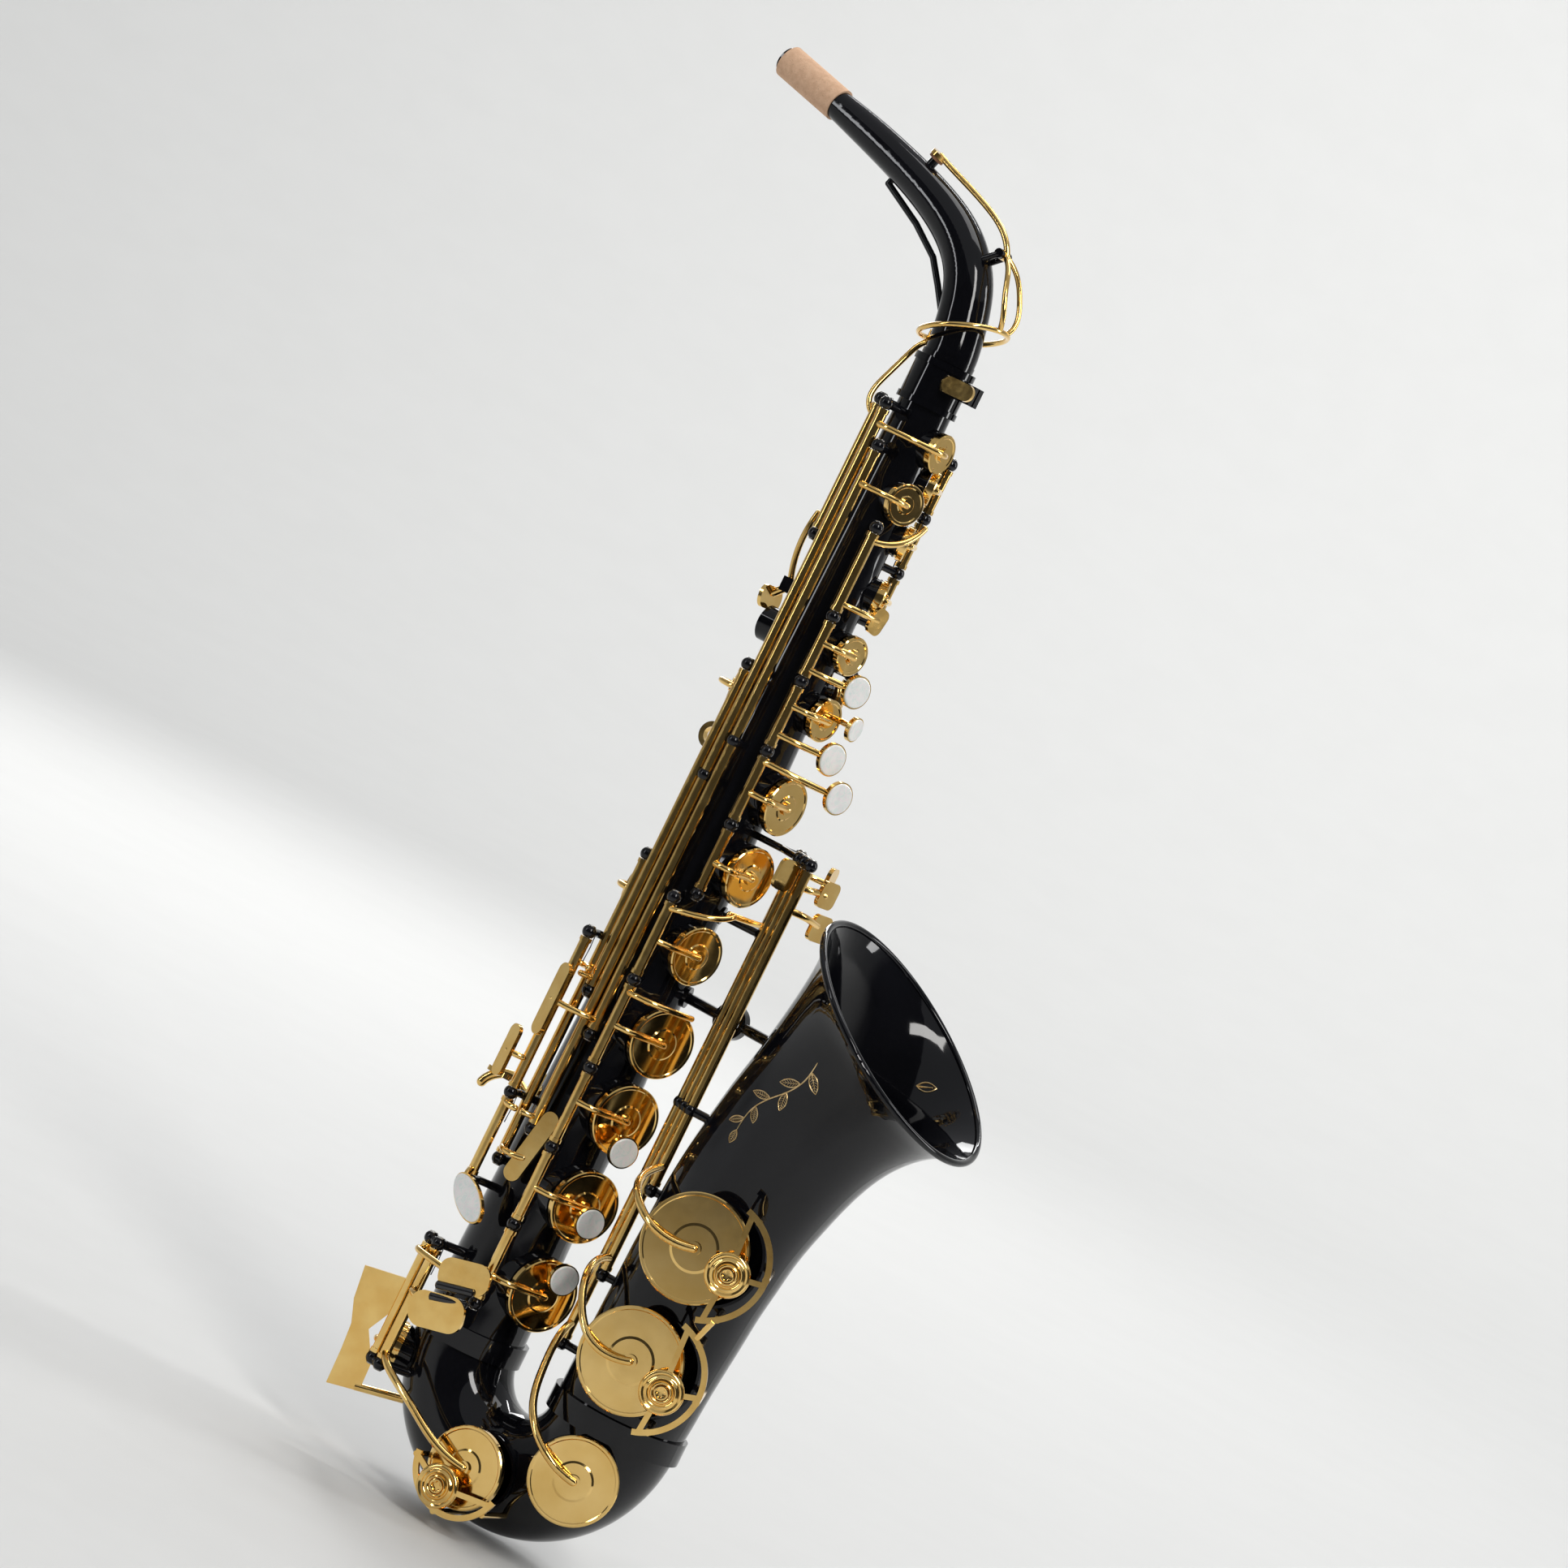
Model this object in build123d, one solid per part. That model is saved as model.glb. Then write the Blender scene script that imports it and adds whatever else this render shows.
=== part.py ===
from build123d import *
import os, math
os.makedirs("parts", exist_ok=True)

# Alto saxophone. Millimetres, +Z up along the body tube, +X toward the bell,
# -Y the player's right. Shapes are drawn about the body-tube axis and then
# moved so that the origin is the centre of the strap ring.

# ---------------------------------------------------------------- dimensions
BODY_TOP, BODY_BOT = 505.0, 25.0      # body tube ends
BODY_R_TOP, BODY_TAPER = 12.5, 0.025  # outer radius at z=525 and growth per mm
WALL = 0.9                            # brass wall
BOW_X, BOW_R = 44.0, 44.0             # bow centre and centreline radius
BELL = [(88, 25, 31, 0), (89.6, 60, 32, 2.5), (92.4, 103, 33.6, 5), (95.2, 131, 35, 8), (98.2, 149, 36.2, 12),
        (101.8, 165, 37.3, 17), (106, 181, 38.6, 21), (111.5, 197, 40.5, 24), (117.5, 212, 44, 28),
        (124, 226, 49.2, 32), (129, 236, 55, 35), (132.4, 242.4, 61, 36)]   # x, z, radius, lean
RIM_R, RIM_WIRE = 61.4, 1.7
ROD_R, HT_OD, HT_ID = 1.5, 5.0, 3.1   # steel rod, key hinge tube
PAD_T, CUP_T, GAP = 2.6, 4.1, 0.15    # pad, cup height, closed-pad gap
RING = (-24.5, 0.0, 326.0)            # strap ring centre
RING_BORE = 4.0
CORK_R, CORK_L = 8.2, 36.0
DEG = math.pi / 180

# hinge lines (x, y) and post heights
LINES = {
    "lh":    ((16, -21),      [259.5, 295.0, 332.5, 368.0, 401.0, 446.0]),
    "rh":    ((13, -34),      [47.0, 87.5, 127.0, 167.5, 212.5, 254.5]),
    "s1":    ((1.3, -27),     [180.0, 330.0, 480.0]),
    "s2":    ((-4.7, -26.6),  [128.5, 310.0, 499.0]),
    "s3":    ((-10.5, -24.9), [197.0, 364.0]),
    "s3b":   ((-16, -21.8),   [108.5, 265.0]),
    "s4":    ((-21, -30),     [94.5, 139.0, 221.5]),
    "ebr":   ((-25, -30),     [0.0, 62.0]),
    "cr":    ((-18, -34),     [0.0, 62.0]),
    "palm":  ((11.5, 25.2),   [404.0, 431.0, 459.0, 487.0]),
    "bis":   ((16, 21),       [350.0, 379.0]),
    "gsl":   ((38, 12),       [254.0, 294.5]),
    "cs":    ((46, -2.6),     [46.5, 170.0, 294.5]),
    "lb":    ((51, -6),       [83.5, 170.0, 294.5]),
    "bb":    ((56, -9.4),     [129.0, 170.0, 294.5]),
    "oct":   ((-17, -10.5),   [431.0, 500.0]),
}
# keys: line, tube ends, closing or opening turn in degrees (rest pose is 0)
KEYS = {
    "b_key": ("lh", 370.8, 398.2, 9.0), "a_key": ("lh", 335.3, 365.2, 9.0),
    "g_key": ("lh", 297.8, 329.7, 9.0), "g_lower_key": ("lh", 262.3, 292.2, 9.0),
    "front_f_key": ("lh", 403.8, 443.2, 6.0),
    "g_sharp_key": ("rh", 215.3, 251.7, -8.0), "f_sharp_key": ("rh", 170.3, 209.7, 8.0),
    "f_key": ("rh", 129.8, 164.7, 8.0), "e_key": ("rh", 90.3, 124.2, 8.0), "d_key": ("rh", 49.8, 84.7, 8.0),
    "side_e_key": ("s1", 182.8, 477.2, -9.0), "high_f_sharp_key": ("s2", 131.3, 496.2, -9.0),
    "side_c_key": ("s3", 199.8, 361.2, 9.0), "side_bb_key": ("s3b", 111.3, 262.2, 5.0),
    "high_f_sharp_lever": ("s4", 97.3, 136.2, 9.0), "side_c_lever": ("s4", 141.8, 218.7, -9.0),
    "low_eb_key": ("ebr", 2.8, 59.2, 7.0), "low_c_key": ("cr", 2.8, 59.2, 6.0),
    "palm_d_key": ("palm", 406.8, 428.2, 9.0), "palm_eb_key": ("palm", 433.8, 456.2, 9.0),
    "palm_f_key": ("palm", 461.8, 484.2, 9.0),
    "bis_key": ("bis", 352.8, 376.2, -8.0), "g_sharp_lever": ("gsl", 256.8, 291.7, 8.0),
    "low_c_sharp_key": ("cs", 49.3, 291.7, -8.0), "low_b_key": ("lb", 86.3, 291.7, 8.0),
    "low_bb_key": ("bb", 131.8, 291.7, 8.0), "octave_rod": ("oct", 433.8, 497.2, 8.0),
}
OPEN_AT_REST = {"b_key", "a_key", "g_key", "g_lower_key", "f_sharp_key", "f_key", "e_key", "d_key",
                "low_c_key", "low_b_key", "low_bb_key", "bis_key"}
# tone holes on the body tube: height, direction (deg from +X), cup radius
HOLES = {"b_key": (388, -6, 9.5), "a_key": (356, 0, 10.5), "g_key": (312, 0, 14.0), "g_lower_key": (276, -5, 14.8),
         "g_sharp_key": (233, -22, 14.2), "f_sharp_key": (190, -20, 16.8), "f_key": (151, -20, 17.2),
         "e_key": (107, -20, 17.6), "d_key": (62, -20, 17.8),
         "side_e_key": (461, -27, 10.0), "high_f_sharp_key": (489, -5, 9.6), "side_c_key": (352, -146, 9.5),
         "side_bb_key": (247, -167, 10.0), "palm_d_key": (417, 26, 9.0), "palm_eb_key": (445, 26, 8.6),
         "palm_f_key": (473, 28, 8.4), "bis_key": (366, 42, 7.5)}
# tone holes on bow and bell: centreline point, wall radius, direction, cup radius
BIG = {"low_bb_key": ((94.0, 121), 34.4, -65.0, 25.5, 3.8), "low_b_key": ((90.2, 62), 32.1, -65.0, 25.0, 3.6),
       "low_c_sharp_key": ((80.2, 0), 29.8, -62.0, 21.0, 5.6), "low_c_key": ((47.0, -19), 28.0, -84.0, 19.5, 4.3)}
EB = (12.0, -150.0, 12.0)

# ---------------------------------------------------------------- helpers
def V(*a):
    return Vector(*a)

def rb(z):
    return BODY_R_TOP + BODY_TAPER * (525.0 - z)

def pol(r, phi, z):
    return V(r * math.cos(phi * DEG), r * math.sin(phi * DEG), z)

def cyl(p, q, r, r2=None):
    p, q = V(*p), V(*q)
    pl = Plane(origin=p, z_dir=(q - p).normalized())
    h = (q - p).length
    if r2 is None:
        return pl * Cylinder(r, h, align=(Align.CENTER, Align.CENTER, Align.MIN))
    return pl * Cone(r, r2, h, align=(Align.CENTER, Align.CENTER, Align.MIN))

def zc(x, y, z0, z1, r):
    return Pos(x, y, z0) * Cylinder(r, z1 - z0, align=(Align.CENTER, Align.CENTER, Align.MIN))

def ball(p, r):
    return Pos(*p) * Sphere(r)

def fuse(items):
    items = list(items)
    a = items[0]
    return a.fuse(*items[1:]) if len(items) > 1 else a

def bent(pts, r):
    """Round bar through the points, ball corners."""
    pts = [V(*p) for p in pts]
    out = []
    for a, b in zip(pts, pts[1:]):
        out.append(cyl(a, b, r))
    for p in pts[1:-1]:
        out.append(ball(p, r * 1.001))
    return out

def curve(pts, r):
    """Round bar along a smooth curve through the points, with a ball at its far end."""
    pts = [V(*p) for p in pts]
    try:
        path = Spline(*pts)
        pl = Plane(origin=path @ 0, z_dir=path % 0)
        s = sweep(pl * Circle(r), path=path)
        if s.volume > 1 and s.is_valid:
            return [s, ball(pts[-1], r * 1.002)]
    except Exception:
        pass
    return bent(pts, r) + [ball(pts[-1], r)]

def plate(center, normal, along, length, width, t, rnd=None):
    """Flat touch with rounded ends, length runs along `along`."""
    n = V(*normal).normalized()
    pl = Plane(origin=V(*center), x_dir=V(*along).normalized(), z_dir=n)
    rnd = rnd or min(length, width) / 2 - 0.05
    sk = pl * RectangleRounded(length, width, rnd)
    return extrude(sk, amount=t / 2, both=True)

def frame_at(origin, phi):
    n = pol(1, phi, 0)
    return Plane(origin=V(*origin), x_dir=V(-n.Y, n.X, 0), z_dir=n)

def solids_of(s):
    return list(s.solids())

def turn(shape, line, deg):
    x, y = LINES[line][0]
    return shape.rotate(Axis((x, y, 0), (0, 0, 1)), deg)

def loft_rings(stations):
    """Smooth solid through circles given as (origin, direction, radius)."""
    with BuildPart() as bp:
        for o, d, r in stations:
            with BuildSketch(Plane(origin=V(*o), z_dir=V(*d))):
                Circle(r)
        loft()
    return bp.part

# ---------------------------------------------------------------- main tubes
def body_solid(off=0.0, z0=BODY_BOT, z1=BODY_TOP):
    return Pos(0, 0, z0) * Cone(rb(z0) + off, rb(z1) + off, z1 - z0, align=(Align.CENTER, Align.CENTER, Align.MIN))

def bow_stations(off=0.0, n=9):
    st = []
    for i in range(n):
        t = i / (n - 1)
        a = math.pi * t
        o = (BOW_X - BOW_R * math.cos(a), 0, 25 - BOW_R * math.sin(a))
        d = (math.sin(a), 0, -math.cos(a))
        st.append((o, d, 25 + 6 * t + off))
    return st

def bell_stations(off=0.0):
    """Evenly spaced sections between the bell dimensions."""
    fine = []
    for a, b in zip(BELL, BELL[1:]):
        n = max(1, round((b[1] - a[1]) / 13.0))
        fine += [tuple(p + (q - p) * i / n for p, q in zip(a, b)) for i in range(n)]
    fine.append(BELL[-1])
    return [((x, 0, z), (math.sin(l * DEG), 0, math.cos(l * DEG)), r + off) for x, z, r, l in fine]

BODY_OUT, BODY_IN = body_solid(), body_solid(-WALL)
BOW_OUT, BOW_IN = loft_rings(bow_stations()), loft_rings(bow_stations(-WALL))
BELL_OUT, BELL_IN = loft_rings(bell_stations()), loft_rings(bell_stations(-WALL))
ALL_OUT = [BODY_OUT, BOW_OUT, BELL_OUT]

NODES = {}

def chimney(origin, phi, rim, rh, r_wall):
    """Drawn tone-hole wall and its bore, from inside the tube out to the rim plane."""
    pl = frame_at(origin, phi)
    base = math.sqrt(max(r_wall ** 2 - (rh + 1) ** 2, 1)) - 3.0
    outer = pl * (Pos(0, 0, base) * Cylinder(rh + 0.9, rim - base, align=(Align.CENTER, Align.CENTER, Align.MIN)))
    bead = pl * (Pos(0, 0, rim - 1.0) * Cylinder(rh + 1.3, 1.0, align=(Align.CENTER, Align.CENTER, Align.MIN)))
    bore = pl * (Pos(0, 0, 1) * Cylinder(rh, rim + 5, align=(Align.CENTER, Align.CENTER, Align.MIN)))
    return outer, bead, bore

body_adds, body_bores = [], []
RIMS = {}
for k, (z, phi, rc) in HOLES.items():
    rim = rb(z) + (2.6 if rc > 12 else 2.4)
    o, b, c = chimney((0, 0, z), phi, rim, rc - 1.8, rb(z))
    body_adds += [o, b]; body_bores.append(c); RIMS[k] = ((0, 0, z), phi, rim, rc)
zE, phE, rE = EB
eb_o = (0, 0, zE)
# low E flat hole sits at the top of the bow, just under the body ring
bow_adds, bow_bores, bell_adds, bell_bores = [], [], [], []
for k, ((cx, cz), rw, phi, rc, rise) in BIG.items():
    rim = rw + rise
    o, b, c = chimney((cx, 0, cz), phi, rim, rc - 2.0, rw)
    RIMS[k] = ((cx, 0, cz), phi, rim, rc)
    if k in ("low_bb_key", "low_b_key"):
        bell_adds += [o, b]; bell_bores.append(c)
    else:
        bow_adds += [o, b]; bow_bores.append(c)
o, b, c = chimney((2.0, 0, 8.0), -150, 28.6, 10.0, 25.3)
RIMS["low_eb_key"] = ((2.0, 0, 8.0), -150, 28.6, 12.0)
bow_adds += [o, b]; bow_bores.append(c)

pips = [cyl((0, 0, 470), tuple(pol(rb(470) + 3.0, -150, 470)), 2.2)]
shell = BODY_OUT.fuse(*body_adds).fuse(*pips)
shell = shell.cut(BODY_IN, *body_bores, cyl((0, 0, 470), tuple(pol(rb(470) + 6.0, -150, 470)), 0.9))
NODES["body_tube"] = shell
bow = BOW_OUT.fuse(*bow_adds).cut(BOW_IN, *bow_bores)
NODES["bow"] = bow
rimo = bell_stations()[-1]
rim_pl = Plane(origin=V(*rimo[0]), z_dir=V(*rimo[1]))
bell = BELL_OUT.fuse(*bell_adds).cut(BELL_IN, *bell_bores)
bell = bell.fuse(rim_pl * Torus(RIM_R - 0.2, RIM_WIRE))
NODES["bell"] = bell

def minus_tubes(s, which=None):
    for o in (which or ALL_OUT):
        s = s.cut(o)
    return s

NODES["body_bow_ring"] = zc(0, 0, 22.5, 33, 27.0).cut(BODY_OUT, BOW_OUT, *[a for a in bow_adds[-2:]])
NODES["bow_bell_ring"] = zc(88, 0, 21.5, 32.5, 33.4).cut(BELL_OUT, BOW_OUT)
# bell-to-body brace: ring between two feet
BZ = 212.8
BY = 7.5
br = [cyl((10, BY, BZ), (40, BY, BZ), 2.6), cyl((52, BY, BZ), (100, BY, BZ), 2.6),
      Pos(46, BY, BZ) * Rot(90, 0, 0) * Cylinder(8.5, 5), cyl((12, BY * 0.7, BZ), (20.6, BY, BZ), 5.2)]
brace = minus_tubes(fuse(br)).cut(Pos(46, BY, BZ) * Rot(90, 0, 0) * Cylinder(5.5, 8))
brace = brace.cut(*[x for x in body_adds])
NODES["bell_brace"] = Part() + max(brace.solids(), key=lambda s: s.volume)

# neck receiver with split lugs
rec = zc(0, 0, 505, 527.6, 14.2).fuse(zc(0, 0, 505, 508, 15.0), zc(0, 0, 524.2, 527.6, 15.0),
                                      Pos(17, 0, 519) * Box(9, 9, 9))
rec = rec.cut(zc(0, 0, 505, 530, 11.66), Pos(17, 0, 519) * Box(12, 1.6, 30),
              cyl((18, -6, 519), (18, 6, 519), 1.55))
NODES["neck_receiver"] = rec
# neck screw, threaded through the lugs along Y
NODES["neck_screw"] = fuse([cyl((18, -13.0, 519), (18, 6.2, 519), 1.5),
                            cyl((18, -7.0, 519), (18, -5.0, 519), 3.2),
                            plate((18, -12.7, 519), (0, 1, 0), (1, 0, 0), 17, 8, 2.2, 3.9)])

# ---------------------------------------------------------------- posts and rods
posts, rods = [], []

def post_at(x, y, z, target, r=1.9, foot=4.2):
    """Ball-headed post from the hinge point down into the tube."""
    head = (Pos(x, y, z) * Sphere(3.4)) & (Pos(x, y, z) * Box(8, 8, 5))
    p, q = V(x, y, z), V(*target)
    d = (q - p).normalized()
    s = fuse([head, cyl(tuple(p), tuple(q), r)])
    return s

OUTER_FOOT = body_solid(0.9, 30, 500)
for name, ((x, y), zs) in LINES.items():
    rods.append(zc(x, y, zs[0] - 2.5, zs[-1] + 2.5, ROD_R))
    if name in ("cs", "lb", "bb"):
        continue
    for z in zs:
        if name in ("ebr", "cr") or (name == "gsl" and z > 290):
            continue
        s = post_at(x, y, z, (0, 0, z))
        if name == "s4":
            s = fuse([(Pos(x, y, z) * Sphere(3.4)) & (Pos(x, y, z) * Box(8, 8, 5)), cyl((x, y, z), (-22.5, -20, z), 1.9),
                      ball((-22.5, -20, z), 1.9), cyl((-22.5, -20, z), (-6, 0, z), 1.9)])
        if name == "oct" and z > 490:
            s = s.cut(zc(0, 0, 504, 530, 15.1))
        foot = cyl((x * 0.5, y * 0.5, z), (x * 0.05, y * 0.05, z), 4.3) & OUTER_FOOT
        posts.append(fuse([s, foot]))
# double posts for the low E flat / low C rods
for z in (0.0, 62.0):
    h = [(Pos(x, y, z) * Sphere(3.4)) & (Pos(x, y, z) * Box(8, 8, 5)) for x, y in (LINES["ebr"][0], LINES["cr"][0])]
    t = (2, 0, z) if z > 30 else (10, 0, 2)
    posts.append(fuse(h + [cyl((-25, -30, z), (-18, -34, z), 2.0), cyl((-20, -32.5, z), t, 2.2)]))
# shared ribs for the three low-key rods
for z, t in ((294.5, (5, 0, 294.5)), (170.0, (5, 0, 170))):
    h = [(Pos(x, y, z) * Sphere(3.4)) & (Pos(x, y, z) * Box(8, 8, 5)) for x, y in
         (LINES["cs"][0], LINES["lb"][0], LINES["bb"][0])]
    yy = -3 if z > 200 else 8
    if z > 200:
        h.append((Pos(38, 12, z) * Sphere(3.4)) & (Pos(38, 12, z) * Box(8, 8, 5)))
        stem = [cyl((46, -2.6, z), (32, 4, z), 1.7), cyl((32, 4, z), t, 1.7), ball((32, 4, z), 1.7),
                cyl((38, 12, z), (32, 4, z), 1.7)]
    else:
        stem = [cyl((56, -9.4, z), (80, -4, z), 2.2)]
    posts.append(fuse(h + [cyl((46, -2.6, z), (56, -9.4, z), 1.8)] + stem))
posts.append(post_at(46, -2.6, 46.5, (80, 0, 46.5), 2.0))
posts.append(post_at(51, -6, 83.5, (80, 0, 83.5), 2.0))
posts.append(post_at(56, -9.4, 129.0, (80, 0, 129.0), 2.0))
cutters = ALL_OUT + body_adds + bow_adds + bell_adds
all_posts = []
# long hinge tubes pass through their middle posts with a running fit
passes = [zc(LINES[n][0][0], LINES[n][0][1], z - 8, z + 8, HT_OD / 2 + 0.08) for n, z in
          (("s1", 330.0), ("s2", 310.0), ("cs", 170.0), ("lb", 170.0), ("bb", 170.0))]
for s in posts:
    s = s.cut(*rods, *passes)
    s = s.cut(*ALL_OUT)
    bb = s.bounding_box()
    near = [c for c in body_adds + bow_adds + bell_adds
            if not (c.bounding_box().min.Z > bb.max.Z or c.bounding_box().max.Z < bb.min.Z)]
    if near:
        s = s.cut(*near)
    all_posts.append(max(s.solids(), key=lambda q: q.volume))
NODES["key_posts"] = Compound(children=all_posts)
NODES["pivot_rods"] = Compound(children=[r.solids()[0] for r in rods])

# ---------------------------------------------------------------- keys
def cup_and_pad(rimdef):
    origin, phi, rim, rc = rimdef
    pl = frame_at(origin, phi)
    z0 = rim + GAP
    prof = [(0, PAD_T), (rc - 0.9, PAD_T), (rc - 0.9, 0.9), (rc, 0.9), (rc, CUP_T - 0.5), (rc - 0.5, CUP_T),
            (rc - 1.5, CUP_T), (rc - 2.0, CUP_T - 0.4), (0.45 * rc, CUP_T - 0.4), (0.4 * rc, CUP_T), (0, CUP_T)]
    face = make_face(Polyline(*[(x, 0, z) for x, z in prof], (0, 0, PAD_T)))
    cup = revolve(face, Axis.Z)
    pad = Cylinder(rc - 0.9, PAD_T, align=(Align.CENTER, Align.CENTER, Align.MIN))
    loc = pl * Pos(0, 0, z0)
    return loc * cup, loc * pad

def cup_top(rimdef, lift=1.2, s=0.0, dz=0.0):
    """Point on the cup top; s slides across the cup, dz along the tube."""
    origin, phi, rim, rc = rimdef
    n = pol(1, phi, 0)
    t = V(-n.Y, n.X, 0)
    return V(*origin) + n * (rim + GAP + CUP_T + lift) + t * s + V(0, 0, dz)

def hinge_tube(key):
    line, z0, z1, _ = KEYS[key]
    x, y = LINES[line][0]
    return zc(x, y, z0, z1, HT_OD / 2), zc(x, y, z0 - 1, z1 + 1, HT_ID / 2)

def make_key(key, arms, extra=(), cup=True, bar=1.6, cuts=()):
    line, z0, z1, ang = KEYS[key]
    x, y = LINES[line][0]
    t, bore = hinge_tube(key)
    parts = [t]
    for zz in (z0 + 1.0, z1 - 1.0):
        parts.append(zc(x, y, zz - 1.0, zz + 1.0, HT_OD / 2 + 0.45))
    for a in arms:
        r = bar
        if isinstance(a, tuple) and isinstance(a[0], float):
            r, a = a
        parts += curve(a, r)
    parts += list(extra)
    pad = None
    if cup:
        c, pad = cup_and_pad(RIMS[key])
        parts.append(c)
        top = cup_top(RIMS[key], 0.0)
        pl = frame_at(tuple(top), RIMS[key][1])
        parts.append(pl * Pos(0, 0, -0.3) * Cylinder(3.2, 1.6, align=(Align.CENTER, Align.CENTER, Align.MIN)))
    k = fuse(parts).cut(bore)
    if cuts:
        k = k.cut(*cuts)
    if pad is not None:
        k = k.cut(pad)
    ks = sorted(k.solids(), key=lambda s: -s.volume)[:1]
    out = Compound(children=ks + ([pad.solids()[0]] if pad is not None else []))
    if key in OPEN_AT_REST:
        out = turn(out, line, -ang)
    NODES[key] = out
    return out

def hp(key, z):
    x, y = LINES[KEYS[key][0]][0]
    return (x, y, z)

def stack_arm(key, z=None, s_end=0.0):
    """Arm from the hinge over the near cup edge to the cup centre."""
    R = RIMS[key]
    rc = R[3]
    x, y = LINES[KEYS[key][0]][0]
    n = pol(1, R[1], 0); t = V(-n.Y, n.X, 0)
    s = (V(x, y, 0)).dot(t)
    sg = 1 if s > 0 else -1
    zz = z if z is not None else R[0][2]
    e1 = cup_top(R, 2.2, sg * (rc + 1.0))
    e2 = cup_top(R, 1.6, sg * rc * 0.55)
    end = cup_top(R, 1.0, s_end)
    return [(x, y, zz), (e1.X, e1.Y, zz), (e2.X, e2.Y, zz), (end.X, end.Y, zz)]

def dish(c, n, r):
    """Shallow holder for a pearl: returns the holder and the pearl."""
    n = V(*n).normalized(); c = V(*c)
    pl = Plane(origin=c, z_dir=n)
    h = pl * (Cylinder(r, 2.0, align=(Align.CENTER, Align.CENTER, Align.MIN)))
    rec_ = pl * (Pos(0, 0, 0.8) * Cylinder(r - 0.6, 3.0, align=(Align.CENTER, Align.CENTER, Align.MIN)))
    pearl = pl * (Pos(0, 0, 0.8) * Cylinder(r - 0.6, 1.9, align=(Align.CENTER, Align.CENTER, Align.MIN)))
    pearl = pearl.fillet(0.7, [pearl.edges().filter_by(GeomType.CIRCLE).sort_by(
        lambda e: -(e.center() - c).dot(n))[0]])
    return h, rec_, pearl

PEARLS = {}
def key_with_pearl(key, arms, pc, pn, pr, stem, bar=1.6, extra=(), name=None):
    h, r_, p = dish(pc, pn, pr)
    make_key(key, arms + [stem], extra=[h] + list(extra), cuts=[r_], bar=bar, cup=key in RIMS)
    line, _, _, ang = KEYS[key]
    if key in OPEN_AT_REST:
        p = turn(p, line, -ang)
    NODES[name or key.replace("_key", "_pearl")] = p

LN = (1, -0.17, 0)
# LH stack
key_with_pearl("b_key", [stack_arm("b_key")], (31.2, -1.5, 374.3), LN, 8.0,
               [hp("b_key", 374.3), (22.5, -18.5, 374.3), (29, -9, 374.3), (31.6, -1.8, 374.3)])
key_with_pearl("a_key", [stack_arm("a_key")], (33.2, 1.5, 341.6), LN, 8.0,
               [hp("a_key", 341.6), (23.5, -18.5, 341.6), (31, -8, 341.6), (33.6, 1.2, 341.6)])
key_with_pearl("g_key", [stack_arm("g_key")], (42.6, 6.5, 327.0), LN, 8.0,
               [hp("g_key", 327.6), (24, -20, 327.6), (35, -10, 327.4), (43.0, 6.2, 327.2)])
make_key("g_lower_key", [stack_arm("g_lower_key")])
ff = plate((27.6, -2.0, 407.5), (1, -0.25, 0), (0.0, 0.2, 1), 13, 9.5, 1.8, 3.5)
make_key("front_f_key", [[hp("front_f_key", 408.0), (22, -17, 408), (26, -9, 408), (27.4, -2.2, 408)],
                         [hp("front_f_key", 439.5), (21, -15, 441), (25, -4, 447), (25.5, 4, 455)]],
         extra=[ff], cup=False, bar=1.5)
# bis key on its own short rod at the left
key_with_pearl("bis_key", [[hp("bis_key", 366), tuple((V(*hp("bis_key", 366)) + cup_top(RIMS["bis_key"], 1.2)) * 0.5 + V(0.8, 0.8, 0)), tuple(cup_top(RIMS["bis_key"], 1.0))]], (34.2, 2.2, 358.3), LN, 6.0,
               [hp("bis_key", 358.3), (24, 18, 358.3), (31, 10.5, 358.3), (34.4, 2.4, 358.3)])
# RH stack
RN = (math.cos(-22 * DEG), math.sin(-22 * DEG), 0)
def rh_pearl(key, dz, s=0.0, off=7.5, pr=7.6):
    c = cup_top(RIMS[key], off, s, dz)
    base = cup_top(RIMS[key], 0.6, s * 0.5, dz * 0.55)
    mid = cup_top(RIMS[key], 2.6, s * 0.8, dz * 0.8)
    key_with_pearl(key, [stack_arm(key)], tuple(c), RN, pr, [tuple(base), tuple(mid), tuple(c + V(*RN) * 0.4)])
rh_pearl("f_key", -12.5)
rh_pearl("e_key", -4.5)
rh_pearl("d_key", 12.0)
fs_ext = curve([hp("f_sharp_key", 206.5), (24, -35, 206.8), (33, -24, 207.2), (36, -12, 207.4)], 1.5)
make_key("f_sharp_key", [stack_arm("f_sharp_key")], extra=fs_ext)
make_key("g_sharp_key", [stack_arm("g_sharp_key")],
         extra=curve([hp("g_sharp_key", 249.0), (24, -36, 251), (34.0, -30, 254), (38.0, -20.5, 258)], 1.4))
# G sharp lever with its bar across the front
gt = plate((51.0, 24.5, 288), (1, 0.25, 0), (0, 0, 1), 17, 13, 2.0, 4)
make_key("g_sharp_lever", [[hp("g_sharp_lever", 288), (41, 18, 288), (46, 22.5, 288), (50.6, 24.4, 288)],
                           [hp("g_sharp_lever", 258.5), (39.5, 4, 258.5), (37, -8, 258.2), (33.5, -17, 258.0)]],
         extra=[gt], cup=False, bar=1.5)
# side E
st_e = plate((-18.5, -38.5, 187), (-0.45, -0.9, 0), (0.0, 0.0, 1), 36, 8.5, 2.0)
make_key("side_e_key", [[hp("side_e_key", 461), (8, -29.5, 461), (17, -24, 461), tuple(cup_top(RIMS["side_e_key"], 1.0))],
                        [hp("side_e_key", 187), (-3, -34, 187), (-11, -37.5, 187), (-18.3, -38.3, 187)]],
         extra=[st_e], bar=1.5)
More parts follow.
